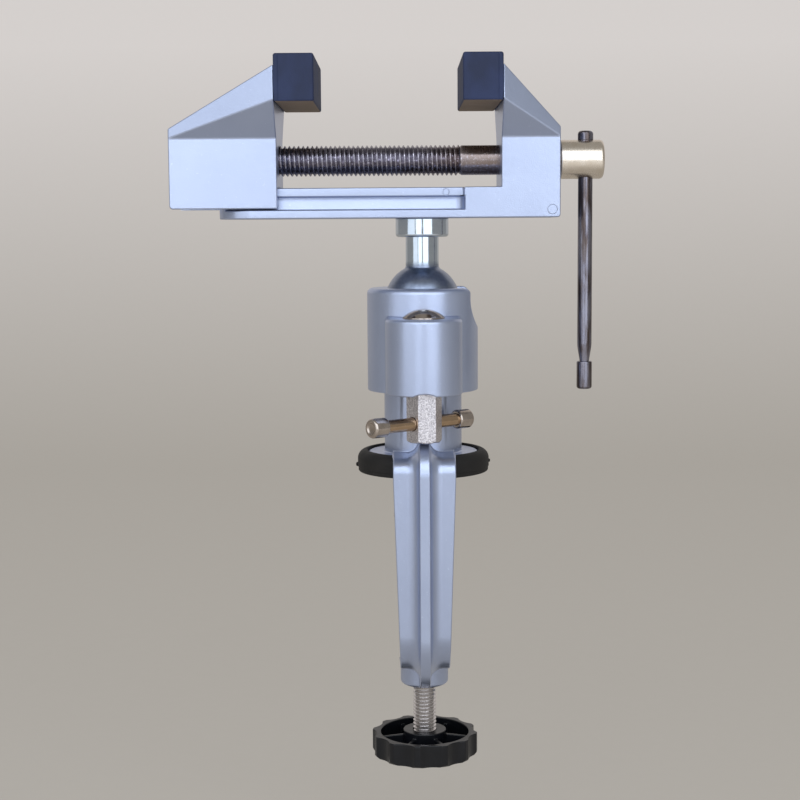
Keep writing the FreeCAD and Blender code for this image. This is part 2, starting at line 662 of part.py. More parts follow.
def make_vise_bed():
    """The casting of the bed with its dovetail rails and the fixed jaw."""
    body = new_body("vise_bed")
    bar = new_sketch(body, "bed_bar", "XZ_Plane")
    add_outline(bar, [
        ("bed_left", "bed_bottom"), ("bed_right", "bed_bottom"), ("bed_right", "rail_top"),
        ("bed_left", "rail_top")])
    feature(body, "Pad", bar, "bed_half_width * 2", SYMMETRIC)
    groove = new_sketch(body, "rail_grooves", "YZ_Plane", "groove_end")
    for side in ("", "-"):
        add_outline(groove, [
            (f"{side}(bed_half_width + 1)", "bed_bottom + bed_plate"),
            (f"{side}waist_bottom", "bed_bottom + bed_plate"), (f"{side}waist_top", "rail_under"),
            (f"{side}rail_half_width", "rail_under"), (f"{side}rail_half_width", "rail_top + 1"),
            (f"{side}(bed_half_width + 1)", "rail_top + 1")])
    feature(body, "Pocket", groove, None)
    round_end = new_sketch(body, "groove_ends", "XY_Plane", "bed_bottom + bed_plate")
    for side, way in (("-", ""), ("", "-")):
        add_outline(round_end, [
            ("groove_end", f"{side}(waist_top + groove_corner)", f"{way}groove_corner"),
            ("groove_end - groove_corner", f"{side}waist_top"),
            ("groove_end - groove_corner", f"{side}(waist_top - 1)"),
            ("groove_end + 1", f"{side}(waist_top - 1)"),
            ("groove_end + 1", f"{side}(waist_top + groove_corner)")])
    feature(body, "Pad", round_end, "rail_top - bed_bottom - bed_plate")
    soften(body, "Fillet", "bed_half_width - 1.5", lambda edge: runs_along(edge, 2)
           and near(middle(edge).x, "bed_left") and near(abs(middle(edge).y), "bed_half_width"))
    add_jaw(body, "fixed", "fixed_face", "bed_right", "rail_top - 1", "fixed_face - tongue_reach")
    add_bore(body, "lead_bearing", "lead_radius + lead_play")
    stud_way = new_sketch(body, "stud_way", "XY_Plane", "bed_bottom")
    add_circle(stud_way, ("0", "0"), "stud_radius + lead_play")
    feature(body, "Pocket", stud_way, "rail_top - bed_bottom", back=True)
    clip_way = new_sketch(body, "clip_recess", "XY_Plane", "rail_top")
    add_circle(clip_way, ("0", "0"), "stud_radius + 2.6")
    feature(body, "Pocket", clip_way, "1.25")
    pin_way = new_sketch(body, "pin_way", "XY_Plane", "bed_bottom")
    add_circle(pin_way, ("pin_place", "lead_radius + 0.2"), "pin_radius")
    feature(body, "Pocket", pin_way, "shoulder - bed_bottom - 2", back=True)
    soften(body, "Fillet", "1", lambda edge: runs_along(edge, 1)
           and near(middle(edge).x, "bed_right") and near(middle(edge).z, "bed_bottom"))
    return body


def make_moving_jaw():
    """The jaw that slides on the rails, tapped for the lead screw."""
    body = new_body("moving_jaw")
    add_jaw(body, "moving", "moving_face", "moving_left", "moving_bottom",
            "moving_face + tongue_reach")
    channel = new_sketch(body, "rail_channel", "YZ_Plane")
    add_outline(channel, [
        ("-waist_bottom - 3 * slide_gap", "moving_bottom - 1"),
        ("-waist_bottom - 3 * slide_gap", "moving_bottom"),
        ("-waist_top - 3 * slide_gap", "rail_under - slide_gap"),
        ("-rail_half_width - slide_gap", "rail_under - slide_gap"),
        ("-rail_half_width - slide_gap", "rail_top + slide_gap"),
        ("rail_half_width + slide_gap", "rail_top + slide_gap"),
        ("rail_half_width + slide_gap", "rail_under - slide_gap"),
        ("waist_top + 3 * slide_gap", "rail_under - slide_gap"),
        ("waist_bottom + 3 * slide_gap", "moving_bottom"),
        ("waist_bottom + 3 * slide_gap", "moving_bottom - 1")])
    feature(body, "Pocket", channel, None, SYMMETRIC)
    add_bore(body, "tapped_bore", "lead_radius + lead_play")
    soften(body, "Fillet", "1.2", lambda edge: runs_along(edge, 1)
           and near(middle(edge).x, "moving_left") and near(middle(edge).z, "moving_bottom"))
    return body


def make_jaw_sleeve(label, face, sign):
    """A soft rubber sleeve pushed over a jaw's tongue. sign is the side that it points to."""
    body = new_body(label)
    front = f"{face} {sign} sleeve_thickness"
    block = new_sketch(body, label + "_block", "XZ_Plane")
    add_outline(block, [
        (face, "sleeve_bottom"), (front, "sleeve_bottom"), (front, "sleeve_bottom + sleeve_height"),
        (face, "sleeve_bottom + sleeve_height")])
    feature(body, "Pad", block, "sleeve_half_width * 2", SYMMETRIC)
    pocket = new_sketch(body, label + "_pocket", "XZ_Plane")
    reach = f"{face} {sign} tongue_reach"
    add_outline(pocket, [
        (face, "tongue_under"), (reach, "tongue_under"), (reach, "tongue_over"),
        (face, "tongue_over")])
    feature(body, "Pocket", pocket, "tongue_half_width * 2", SYMMETRIC)
    soften(body, "Fillet", "0.8", lambda edge: near(middle(edge).x, front)
           and (near(abs(middle(edge).y), "sleeve_half_width") or runs_along(edge, 1)))
    return body


# ---------------------------------------------------------------- lead screw


def make_lead_screw():
    """The jaw's screw: threaded length, plain journal with a pin groove, and a drilled head."""
    body = new_body("lead_screw")
    body.setExpression("Placement.Base.z", named("screw_height"))
    body.Placement.Rotation = FreeCAD.Rotation(FreeCAD.Vector(0, 1, 0), 90)
    profile = new_sketch(body, "lead_profile", "XZ_Plane")
    add_outline(profile, [
        ("0", "lead_left"), ("lead_radius - 1", "lead_left"), ("lead_radius", "lead_left + 1"),
        ("lead_radius", "thread_end"), ("lead_radius - 0.15", "thread_end"),
        ("lead_radius - 0.15", "pin_place - pin_radius - 0.1"),
        ("lead_radius - 1.2", "pin_place - pin_radius - 0.1"),
        ("lead_radius - 1.2", "pin_place + pin_radius + 0.1"),
        ("lead_radius - 0.15", "pin_place + pin_radius + 0.1"), ("lead_radius - 0.15", "head_left"),
        ("head_radius", "head_left"), ("head_radius", "head_right - 1.2", "1.2"),
        ("head_radius - 1.2", "head_right"), ("0", "head_right")])
    turned(body, "Revolution", profile)
    cross = new_sketch(body, "bar_hole", "YZ_Plane")
    add_circle(cross, ("0", "bar_place"), "bar_radius + 0.1")
    feature(body, "Pocket", cross, None, SYMMETRIC)
    return body


def make_lead_screw_washer():
    """The washer between the screw's head and the fixed jaw."""
    body = new_body("lead_screw_washer")
    ring = new_sketch(body, "lead_washer_ring", "YZ_Plane", "bed_right + 0.05")
    add_circle(ring, ("0", "screw_height"), "head_radius - 0.3")
    add_circle(ring, ("0", "screw_height"), "lead_radius - 0.15")
    feature(body, "Pad", ring, "head_left - bed_right - 0.05")
    return body


def make_lead_screw_pin():
    """The pin pressed into the fixed jaw, which holds the screw by its groove."""
    body = new_body("lead_screw_pin")
    rod = new_sketch(body, "retaining_pin", "XY_Plane", "bed_bottom + 0.3")
    add_circle(rod, ("pin_place", "lead_radius + 0.2"), "pin_radius")
    feature(body, "Pad", rod, "shoulder - bed_bottom - 3")
    return body


def make_screw_bar():
    """The bar that hangs in the screw's head by its upset top end."""
    body = new_body("screw_bar")
    body.setExpression("Placement.Base.x", named("bar_place"))
    tip_top = "bar_bottom + bar_tip_height"
    seat = "screw_height + head_radius"
    profile = new_sketch(body, "bar_profile", "XZ_Plane")
    add_outline(profile, [
        ("0", "bar_bottom + 1.6"), ("bar_neck_radius", "bar_bottom + 1.6"),
        ("bar_neck_radius", tip_top), ("bar_radius", f"{tip_top} + 5.2"), ("bar_radius", seat),
        ("bar_tip_radius", seat), ("bar_tip_radius", f"{seat} + bar_head_height - 0.9"),
        ("bar_tip_radius - 0.9", f"{seat} + bar_head_height"), ("0", f"{seat} + bar_head_height")])
    turned(body, "Revolution", profile)
    return body


def make_screw_bar_tip():
    """The round end piece on the bar's lower end."""
    body = new_body("screw_bar_tip")
    body.setExpression("Placement.Base.x", named("bar_place"))
    tip_top = "bar_bottom + bar_tip_height"
    profile = new_sketch(body, "tip_profile", "XZ_Plane")
    add_outline(profile, [
        ("0", "bar_bottom"), ("bar_tip_radius - 0.8", "bar_bottom"),
        ("bar_tip_radius", "bar_bottom + 0.8"), ("bar_tip_radius", f"{tip_top} - 0.4"),
        ("bar_tip_radius - 0.4", tip_top), ("bar_neck_radius", tip_top),
        ("bar_neck_radius", "bar_bottom + 1.6"), ("0", "bar_bottom + 1.6")])
    turned(body, "Revolution", profile)
    return body


# ---------------------------------------------------------------- clamp screw and knob


def make_clamp_screw():
    """The screw under the bench, with a ball tip on top for its plate."""
    body = new_body("clamp_screw")
    ball_centre = "-bench_thickness - pad_thickness - swivel_drop"
    profile = new_sketch(body, "clamp_screw_profile", "XZ_Plane")
    neck = "swivel_radius - 0.9"
    neck_top = f"{ball_centre} - sqrt(swivel_radius ^ 2 - ({neck}) ^ 2)"
    neck_end = f"{ball_centre} - swivel_radius - 2"
    add_outline(profile, [
        ("0", f"{ball_centre} + swivel_radius", "-swivel_radius"),
        ("swivel_radius", ball_centre, "-swivel_radius"), (neck, neck_top), (neck, neck_end),
        ("clamp_screw_radius", f"{neck_end} - 1"), ("clamp_screw_radius", "-knob_bottom + 1.4"),
        ("0", "-knob_bottom + 1.4")])
    turned(body, "Revolution", profile)
    return body


def make_pressure_plate():
    """The round plate that swivels on the screw's ball tip."""
    body = new_body("pressure_plate")
    top = "-bench_thickness - pad_thickness"
    centre = f"{top} - swivel_drop"
    socket = "swivel_radius + ball_play"
    mouth = f"sqrt(({socket}) ^ 2 - (plate_rise - swivel_drop) ^ 2)"
    cup = new_sketch(body, "plate_profile", "XZ_Plane")
    add_outline(cup, [
        ("0", f"{top}"), ("plate_radius", f"{top}"), ("plate_radius", f"{top} - 1.4"),
        ("swivel_radius + 2.2", f"{top} - 2.2"), ("swivel_radius + 1.6", f"{top} - plate_rise"),
        (mouth, f"{top} - plate_rise", socket), (socket, centre, socket),
        ("0", f"{centre} + {socket}")])
    turned(body, "Revolution", cup)
    return body


def make_pressure_pad():
    """The rubber disc on the plate, which presses up against the bench."""
    body = new_body("pressure_pad")
    disc = new_sketch(body, "pressure_disc", "XY_Plane", "-bench_thickness - pad_thickness")
    add_circle(disc, ("0", "0"), "plate_radius - 0.4")
    feature(body, "Pad", disc, "pad_thickness")
    soften(body, "Chamfer", "0.5", lambda edge: is_ring(edge, "plate_radius - 0.4",
                                                        "-bench_thickness"))
    return body


def make_clamp_knob():
    """The moulded hand knob: fluted skirt, open top with a hub, and ribs between them."""
    body = new_body("clamp_knob")
    skirt = new_sketch(body, "knob_skirt", "XY_Plane", "-knob_bottom")
    add_circle(skirt, ("0", "0"), "knob_radius")
    feature(body, "Pad", skirt, "knob_bottom - knob_rim_top")
    soften(body, "Chamfer", "0.8", lambda edge: is_ring(edge, "knob_radius", "-knob_bottom"))
    flute = new_sketch(body, "knob_flute", "XY_Plane", "-knob_bottom")
    reach = "(knob_radius - flute_depth + flute_radius)"
    add_circle(flute, (f"{reach} * cos(flute_turn)", f"{reach} * sin(flute_turn)"), "flute_radius")
    cut = feature(body, "Pocket", flute, "knob_bottom - knob_rim_top", back=True)
    around = body.newObject("PartDesign::PolarPattern", "knob_flutes")
    around.Originals = [cut]
    around.Axis = (flute, ["N_Axis"])
    around.Angle = 360
    around.setExpression("Occurrences", "Sizes.knob_flutes")
    body.Tip = around
    settle(around)
    well = new_sketch(body, "knob_well", "XY_Plane", "-knob_rim_top")
    add_circle(well, ("0", "0"), "knob_radius - 3")
    add_circle(well, ("0", "0"), "knob_hub_radius")
    feature(body, "Pocket", well, "knob_bottom - knob_rim_top - 1.8")
    ribs = new_sketch(body, "knob_rib", "XZ_Plane")
    add_outline(ribs, [
        ("knob_hub_radius - 1", "-knob_bottom + 1"), ("knob_radius - 2.5", "-knob_bottom + 1"),
        ("knob_radius - 2.5", "-knob_rim_top - 2"), ("knob_hub_radius - 1", "-knob_rim_top - 1")])
    rib = feature(body, "Pad", ribs, "1.2", SYMMETRIC)
    spokes = body.newObject("PartDesign::PolarPattern", "knob_ribs")
    spokes.Originals = [rib]
    spokes.Axis = (flute, ["N_Axis"])
    spokes.Angle = 360
    spokes.setExpression("Occurrences", "Sizes.knob_flutes / 2")
    body.Tip = spokes
    settle(spokes)
    hub = new_sketch(body, "knob_hub", "XY_Plane", "-knob_bottom")
    add_circle(hub, ("0", "0"), "knob_hub_radius")
    feature(body, "Pad", hub, "knob_bottom - knob_rim_top + 0.7")
    way = new_sketch(body, "knob_screw_way", "XY_Plane", "-knob_rim_top + 0.7")
    add_circle(way, ("0", "0"), "clamp_screw_radius")
    feature(body, "Pocket", way, "knob_bottom - knob_rim_top + 0.7 - 1.4")
    insert = new_sketch(body, "knob_insert_way", "XY_Plane", "-knob_bottom + 1.4")
    add_circle(insert, ("0", "0"), "clamp_screw_radius + 1.8")
    feature(body, "Pocket", insert, "4.4", back=True)
    return body


def make_knob_insert():
    """The steel bush moulded into the knob's hub and fixed on the screw's end."""
    body = new_body("knob_insert")
    bush = new_sketch(body, "insert_bush", "XY_Plane", "-knob_bottom + 1.4")
    add_circle(bush, ("0", "0"), "clamp_screw_radius + 1.8")
    add_circle(bush, ("0", "0"), "clamp_screw_radius")
    feature(body, "Pad", bush, "4.4")
    return body


# ---------------------------------------------------------------- build, test and write


def build_all():
    """Make every sub-part, in the order in which the vise is put together."""
    make_clamp_body()
    make_foot_pad()
    make_ball_housing()
    make_lock_bolt()
    make_lock_washer()
    make_lock_nut()
    make_lock_bar()
    make_lock_bar_cap("lock_bar_cap_left", True)
    make_lock_bar_cap("lock_bar_cap_right", False)
    make_ball_seat()
    make_ball_stud()
    make_stud_clip()
    make_vise_bed()
    make_moving_jaw()
    make_jaw_sleeve("fixed_jaw_sleeve", "fixed_face", "-")
    make_jaw_sleeve("moving_jaw_sleeve", "moving_face", "+")
    make_lead_screw()
    make_lead_screw_washer()
    make_lead_screw_pin()
    make_screw_bar()
    make_screw_bar_tip()
    make_clamp_screw()
    make_pressure_plate()
    make_pressure_pad()
    make_clamp_knob()
    make_knob_insert()


def write_all():
    """Stop if any object failed, then write each node's shape to its own file."""
    doc.recompute()
    for item in doc.Objects:
        if "Invalid" in item.State or "Error" in item.State:
            raise RuntimeError(f"{item.Label} has failed: {item.State}")
    os.makedirs("parts", exist_ok=True)
    for body in nodes:
        shape = body.Shape
        if shape.isNull() or not shape.isValid() or len(shape.Solids) != 1:
            raise RuntimeError(f"{body.Label}: {len(shape.Solids)} solids, valid {shape.isValid()}")
        shape.exportStep(f"parts/{body.Label}.step")
        print(f"{body.Label}: {shape.Volume / 1000:.2f} cm3")


build_all()
write_all()
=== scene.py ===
# %% [markdown]
# # A ball vise for the edge of a bench
# The construction model comes first: its solids have the sizes, the places and the motion. This
# lesson dresses them. It sets up a camera, a floor and lamps, makes one procedural material for
# each finish, and then replaces those solids whose looks need more than a construction model has:
# round edges on the castings, real threads, soft rubber, turned and plated steel.
# Lengths are written in millimetres, because that is how such parts are drawn, and become metres
# when a piece is finished.

import json
import math

import bmesh
import bpy
from mathutils import Matrix, Vector

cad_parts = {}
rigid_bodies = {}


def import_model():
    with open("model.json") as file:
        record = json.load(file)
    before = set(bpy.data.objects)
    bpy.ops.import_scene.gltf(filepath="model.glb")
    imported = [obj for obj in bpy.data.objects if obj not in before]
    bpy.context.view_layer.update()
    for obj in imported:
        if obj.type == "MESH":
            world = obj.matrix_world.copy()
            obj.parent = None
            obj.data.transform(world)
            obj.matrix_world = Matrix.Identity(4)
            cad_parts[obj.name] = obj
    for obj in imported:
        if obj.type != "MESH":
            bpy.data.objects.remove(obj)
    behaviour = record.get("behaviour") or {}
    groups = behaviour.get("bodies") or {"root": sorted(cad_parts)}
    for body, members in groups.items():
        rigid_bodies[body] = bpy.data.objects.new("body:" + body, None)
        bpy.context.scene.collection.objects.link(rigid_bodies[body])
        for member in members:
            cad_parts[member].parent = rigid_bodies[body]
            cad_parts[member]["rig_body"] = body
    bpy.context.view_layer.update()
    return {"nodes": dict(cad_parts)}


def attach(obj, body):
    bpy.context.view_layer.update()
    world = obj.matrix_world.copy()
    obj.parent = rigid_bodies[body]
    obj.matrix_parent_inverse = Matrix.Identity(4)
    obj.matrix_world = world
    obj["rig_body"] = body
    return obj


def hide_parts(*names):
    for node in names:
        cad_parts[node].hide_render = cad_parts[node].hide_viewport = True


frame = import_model()
nodes = frame["nodes"]
MM = 0.001
Z_AXIS = (0, 0, 1)
FULL_TURN = 2 * math.pi

# %% [markdown]
# ## Camera
# A long lens from half a metre away, a little above the vise, looking slightly down. The roll is a
# fraction of a degree, as a camera held by hand has it. A camera could be aimed with a constraint,
# but a matrix made of three plain turns says the same in one line and stays put in every view.

# %% Place the camera
CAMERA_PLACE = (-7.7, -525, 80.9)
LOOKS_DOWN = 6.232
ROLL = 0.4
LENS, SENSOR = 70.875, 36

lens_data = bpy.data.cameras.new("camera")
lens_data.lens = LENS
lens_data.sensor_width = SENSOR
camera = bpy.data.objects.new("camera", lens_data)
bpy.context.scene.collection.objects.link(camera)
camera.matrix_world = (Matrix.Translation(Vector(CAMERA_PLACE) * MM)
                       @ Matrix.Rotation(math.radians(90 - LOOKS_DOWN), 4, "X")
                       @ Matrix.Rotation(math.radians(-ROLL), 4, "Z"))
bpy.context.scene.camera = camera
bpy.context.scene.view_settings.view_transform = "Standard"
print("camera at", list(camera.location))

# %% [markdown]
# ## Floor and lamps
# A pale floor that sweeps up into a backdrop, as a roll of paper in a studio does, has no corner
# to distract from the vise. It lies so low that the knob clears it when the clamp is wide open.
# Two soft lamps beside the camera stand for a wide window with a bar in its middle, and a third
# one to the left for a dimmer window further away. Round and flat metal both mirror them: the flat
# front faces turn bright, the round pieces get bands of light with dark lines between, and what
# points sideways or down stays darker, because it mirrors the room and the floor. Lamps of plain
# size and strength, and no tricks with the exposure, keep the vise right under other light too.

# %% Paper sweep
FLOOR = -136.0
SWEEP_FRONT, SWEEP_BACK, SWEEP_HALF, SWEEP_BEND, SWEEP_TOP = -1500, 900, 1800, 500, 2200


def arc(centre, radius, start, end, count):
    """Points of an arc in an outline, from one angle to another in degrees."""
    turns = [math.radians(start + (end - start) * step / count) for step in range(count + 1)]
    return [(centre[0] + radius * math.cos(turn), centre[1] + radius * math.sin(turn))
            for turn in turns]


def sweep():
    """A sheet that lies on the floor and bends up into a wall at its back."""
    bm = bmesh.new()
    bend = arc((SWEEP_BACK, FLOOR + SWEEP_BEND), SWEEP_BEND, -90, 0, 16)
    outline = [(SWEEP_FRONT, FLOOR), *bend, (SWEEP_BACK + SWEEP_BEND, SWEEP_TOP)]
    line = [bm.verts.new((-SWEEP_HALF, depth, height)) for depth, height in outline]
    edges = [bm.edges.new(pair) for pair in zip(line, line[1:])]
    pulled = bmesh.ops.extrude_edge_only(bm, edges=edges)["geom"]
    moved = [item for item in pulled if isinstance(item, bmesh.types.BMVert)]
    bmesh.ops.translate(bm, vec=(2 * SWEEP_HALF, 0, 0), verts=moved)
    bmesh.ops.scale(bm, vec=(MM, MM, MM), verts=bm.verts)
    mesh = bpy.data.meshes.new("paper_sweep")
    bm.to_mesh(mesh)
    bm.free()
    mesh.shade_smooth()
    paper = bpy.data.objects.new("paper_sweep", mesh)
    bpy.context.scene.collection.objects.link(paper)
    return paper


paper = sweep()
print("paper sweep:", len(paper.data.polygons), "faces")


# %% Lamps
MIDDLE = Vector((-10, 0, 60))
LAMP_DISTANCE, LAMP_HEIGHT, LAMP_TALL = 900, 430, 1060
DAYLIGHT = (0.85, 0.92, 1.0)


def soft_lamp(name, turn, width, radiance):
    """A lamp that faces the vise. turn is its direction in degrees, 0 in front, positive right."""
    data = bpy.data.lights.new(name, "AREA")
    data.shape = "RECTANGLE"
    data.size, data.size_y = width * MM, LAMP_TALL * MM
    data.energy = radiance * math.pi * data.size * data.size_y
    data.color = DAYLIGHT
    lamp = bpy.data.objects.new(name, data)
    angle = math.radians(turn)
    place = Vector((LAMP_DISTANCE * math.sin(angle), -LAMP_DISTANCE * math.cos(angle),
                    LAMP_HEIGHT))
    lamp.matrix_world = (Matrix.Translation(place * MM)
                         @ (MIDDLE - place).to_track_quat("-Z", "Y").to_matrix().to_4x4())
    bpy.context.scene.collection.objects.link(lamp)
    print(f"{name}: {data.energy:.1f} W")


soft_lamp("far_window", turn=-48, width=640, radiance=1.1)
soft_lamp("left_window", turn=-15, width=450, radiance=1.9)
soft_lamp("right_window", turn=23, width=710, radiance=1.95)

# %% [markdown]
# ## Maths on a material's sockets
# A node tree is a sum written with boxes and wires. `Wire` holds one output socket and overloads
# Python's operators, so that `1 - grain * 0.2` adds the Math nodes by itself. `above` turns a wire
# into a soft mask, and `past` does so for a place in millimetres. `Tree` is one node tree, and its
# `node` method makes every other kind of node: the settings first, and then the values or wires of
# the inputs. `Finish` is the tree of one material.

# %% Wires, trees and finishes
class Wire:
    """An output socket of a node tree that can be used in sums."""

    def __init__(self, owner, socket):
        self.owner = owner
        self.socket = socket

    def maths(self, operation, *values):
        """A Math node on wires and numbers."""
        return self.owner.node("ShaderNodeMath", {"operation": operation}, dict(enumerate(values)))

    def __add__(self, other):
        return self.maths("ADD", self, other)

    def __sub__(self, other):
        return self.maths("SUBTRACT", self, other)

    def __rsub__(self, other):
        return self.maths("SUBTRACT", other, self)

    def __mul__(self, other):
        return self.maths("MULTIPLY", self, other)

    __radd__ = __add__
    __rmul__ = __mul__

    def above(self, level, softness):
        """0 below a level and 1 above it, with a soft step."""
        return self.owner.node("ShaderNodeMapRange", {"interpolation_type": "SMOOTHSTEP"}, {
            "Value": self, "From Min": level - softness, "From Max": level + softness})

    def past(self, place, softness):
        """The same for a distance, where place and softness are in millimetres."""
        return self.above(place * MM, softness * MM)


class Tree:
    """The nodes of a material or of the sky."""

    def __init__(self, holder):
        holder.use_nodes = True
        self.tree = holder.node_tree

    def node(self, kind, settings=None, inputs=None, output=0):
        """A new node. inputs and output name sockets, or count them from 0."""
        made = self.tree.nodes.new(kind)
        for name, setting in (settings or {}).items():
            setattr(made, name, setting)
        for name, given in (inputs or {}).items():
            self.feed(made.inputs[name], given)
        return Wire(self, made.outputs[output])

    def feed(self, socket, given):
        """Link a wire to an input socket, or set a plain value on it."""
        if isinstance(given, Wire):
            self.tree.links.new(given.socket, socket)
        else:
            socket.default_value = given


class Finish(Tree):
    """One procedural material."""

    def __init__(self, name):
        self.material = bpy.data.materials.new(name)
        super().__init__(self.material)
        self.shader = self.tree.nodes["Principled BSDF"]
        self.place = self.node("ShaderNodeTexCoord", output="Object")

    def along(self, axis):
        """How far a point lies along the X, Y or Z axis."""
        return self.node("ShaderNodeSeparateXYZ", None, {"Vector": self.place}, output=axis)

    def noise(self, size, detail, stretch=(1, 1, 1)):
        """Cloudy noise from 0 to 1. size is the width of a cloud in millimetres."""
        spot = self.node("ShaderNodeMapping", None, {"Vector": self.place, "Scale": stretch})
        return self.node("ShaderNodeTexNoise", None, {
            "Vector": spot, "Scale": 1 / (size * MM), "Detail": detail})

    def blend(self, share, first, second):
        """A colour between two, where share is 0 for the first and 1 for the second."""
        return self.node("ShaderNodeMix", {"data_type": "RGBA"}, {0: share, 6: first, 7: second},
                         output=2)

    def relief(self, height, depth):
        """The surface normal with a relief. depth is its height in millimetres."""
        return self.node("ShaderNodeBump", None, {
            "Height": height, "Distance": depth * MM, "Strength": 1})

    def close(self, **sockets):
        """Wire up the shader. A name such as base_color stands for the Base Color socket."""
        for name, given in sockets.items():
            title = name.replace("_", " ").title().replace("Ior", "IOR")
            self.feed(self.shader.inputs[title], given)
        return self.material


def paint(red, green, blue):
    """A colour that is written as it shows on the screen, from 0 to 255."""
    channels = [part / 255 for part in (red, green, blue)]
    return tuple((part / 12.92 if part < 0.04045 else ((part + 0.055) / 1.055) ** 2.4)
                 for part in channels) + (1,)


# %% [markdown]
# ## Sky
# An even, slightly warm sky stands for the room. It lights the vise gently and shows in the metal.
# Where the camera looks past the paper it would be dull, so camera rays alone see it brighter.

# %% Hang up the sky
SKY_COLOUR = (1.0, 0.975, 0.93, 1)
SKY_STRENGTH, CAMERA_SEES_MORE = 0.34, 0.27

world = bpy.data.worlds.new("sky")
sky = Tree(world)
backdrop = sky.tree.nodes["Background"]
sky.feed(backdrop.inputs["Color"], SKY_COLOUR)
sky.feed(backdrop.inputs["Strength"],
         SKY_STRENGTH + sky.node("ShaderNodeLightPath", output="Is Camera Ray") * CAMERA_SEES_MORE)
bpy.context.scene.world = world
print("sky:", len(sky.tree.nodes), "nodes")

# %% [markdown]
# ## Silver castings
# The clamp body, the ball's housing, the bed and both jaws are die castings with a thin satin
# silver coat. Plain metal would mirror the room too sharply, and plain paint would look dead. So
# the shader is mostly metallic with a wide, soft gloss. Fine grain in the relief gives the sprayed
# surface, slow clouds vary the tone by a few percent, and a few pin specks are dust in the coat.
# Two faint rings are the marks of the pins that push a casting out of its mould.

# %% Cast silver
PIN_MARKS = ((41.9, 86.6, 1.6), (7.7, 92.4, 1.1))
MARK_WIDTH, MARK_EDGE, MARK_DEPTH = 0.12, 0.05, 3


def make_cast_silver():
    """The silver coat. PIN_MARKS has a mark's place along X, its height and its radius."""
    coat = Finish("cast_silver")
    marks = []
    for along, height, radius in PIN_MARKS:
        flat = coat.node("ShaderNodeMapping", None, {
            "Vector": coat.place, "Location": (-along * MM, 0, -height * MM), "Scale": (1, 0, 1)})
        far = coat.node("ShaderNodeVectorMath", {"operation": "LENGTH"}, {0: flat}, output="Value")
        marks.append(far.past(radius - MARK_WIDTH, MARK_EDGE) - far.past(radius, MARK_EDGE))
    clouds = coat.noise(14, 3)
    grain = coat.noise(0.35, 2)
    specks = coat.noise(0.9, 1).above(0.76, 0.02)
    tone = coat.blend(clouds, paint(170, 180, 206), paint(182, 192, 217))
    return coat.close(
        base_color=coat.blend(specks * 0.3, tone, paint(214, 222, 240)), metallic=0.82,
        roughness=0.25 + grain * 0.15, normal=coat.relief(
            grain + coat.noise(1.6, 2) * 0.8 - sum(marks) * MARK_DEPTH, 0.03))


# %% [markdown]
# ## Plated and turned steel
# Chrome is a clear mirror with a cool tint, but the ball below its neck is rubbed dull and dark by
# its seat, so the height on the stud chooses between the two. The lead screw and the bars are
# nickel plated over turned steel: darker and warmer, with fine rings left by the tool, which a
# noise squeezed along the axis of turning gives. Oil darkens the screw's thread. Its head is
# bright and tan, a painted reflection of a warm shelf. The sliding bar has long streaks, whose
# dark and bluish colours are painted reflections of the room and its windows. One function with a
# few colours serves the plainer nickel pieces, and the screw and the bar have their own. Zinc on
# the nut is bright and grainy like frost.

# %% Steels
BALL_TOP, RUB_FADES = 69.2, 1.2
BROWN_MIDDLE, BROWN_FADES = 8.0, 12.0
THREAD_STOPS, HEAD_STARTS = 13.0, 45.5
ALONG_X_MARKS, ALONG_Z_MARKS, EVEN_MARKS = (5, 1, 1), (1, 1, 5), (1, 1, 1)


def make_chrome():
    """Chrome on the stud, rubbed dull and dark below BALL_TOP, where the ball meets its seat."""
    plate = Finish("chrome")
    haze = plate.noise(3, 3)
    pits = plate.noise(0.7, 1).above(0.72, 0.04)
    on_stud = plate.along("Z").past(BALL_TOP, RUB_FADES)
    bright = plate.blend(haze, paint(186, 198, 212), paint(204, 212, 221))
    rubbed = plate.blend(plate.noise(1.2, 3), paint(112, 122, 144), paint(150, 160, 180))
    return plate.close(
        base_color=plate.blend(on_stud, rubbed, bright), metallic=1.0,
        roughness=0.25 + haze * 0.1 + pits * 0.1 - on_stud * 0.18,
        normal=plate.relief(haze, 0.02))


def make_nickel(name, rings, dull, clear, roughness=0.16):
    """Nickel plate. rings squeezes the turning marks along the axis on which they follow."""
    plate = Finish(name)
    marks = plate.noise(2, 2, rings)
    haze = plate.noise(4, 3)
    return plate.close(
        base_color=plate.blend(haze, dull, clear), metallic=1.0,
        roughness=roughness + marks * 0.16 + haze * 0.06, normal=plate.relief(marks, 0.012))


def make_screw_nickel():
    """Nickel on the lead screw: dark in the thread and browner to the right.

    Its head is bright and tan, a painted reflection of a warm shelf.
    """
    plate = Finish("screw_nickel")
    along = plate.along("X")
    marks = plate.noise(2, 2, ALONG_X_MARKS)
    haze = plate.noise(3, 3)
    flecks = plate.noise(0.8, 2).above(0.62, 0.08)
    thread = plate.blend(haze, paint(122, 119, 128), paint(170, 166, 176))
    thread = plate.blend(along.past(BROWN_MIDDLE, BROWN_FADES) * 0.6, thread,
                         paint(132, 110, 92))
    thread = plate.blend(flecks * (0.6 - along.past(THREAD_STOPS, 1) * 0.35), thread,
                         paint(226, 222, 236))
    # Painted reflection: the head's bright tan colour stands in for a warm shelf mirrored in its
    # plating.
    head = plate.blend(haze, paint(212, 198, 180), paint(240, 232, 222))
    on_head = along.past(HEAD_STARTS, 0.3)
    return plate.close(
        base_color=plate.blend(on_head, thread, head), metallic=1.0,
        roughness=0.17 + marks * 0.12 + haze * 0.06, normal=plate.relief(marks, 0.01))


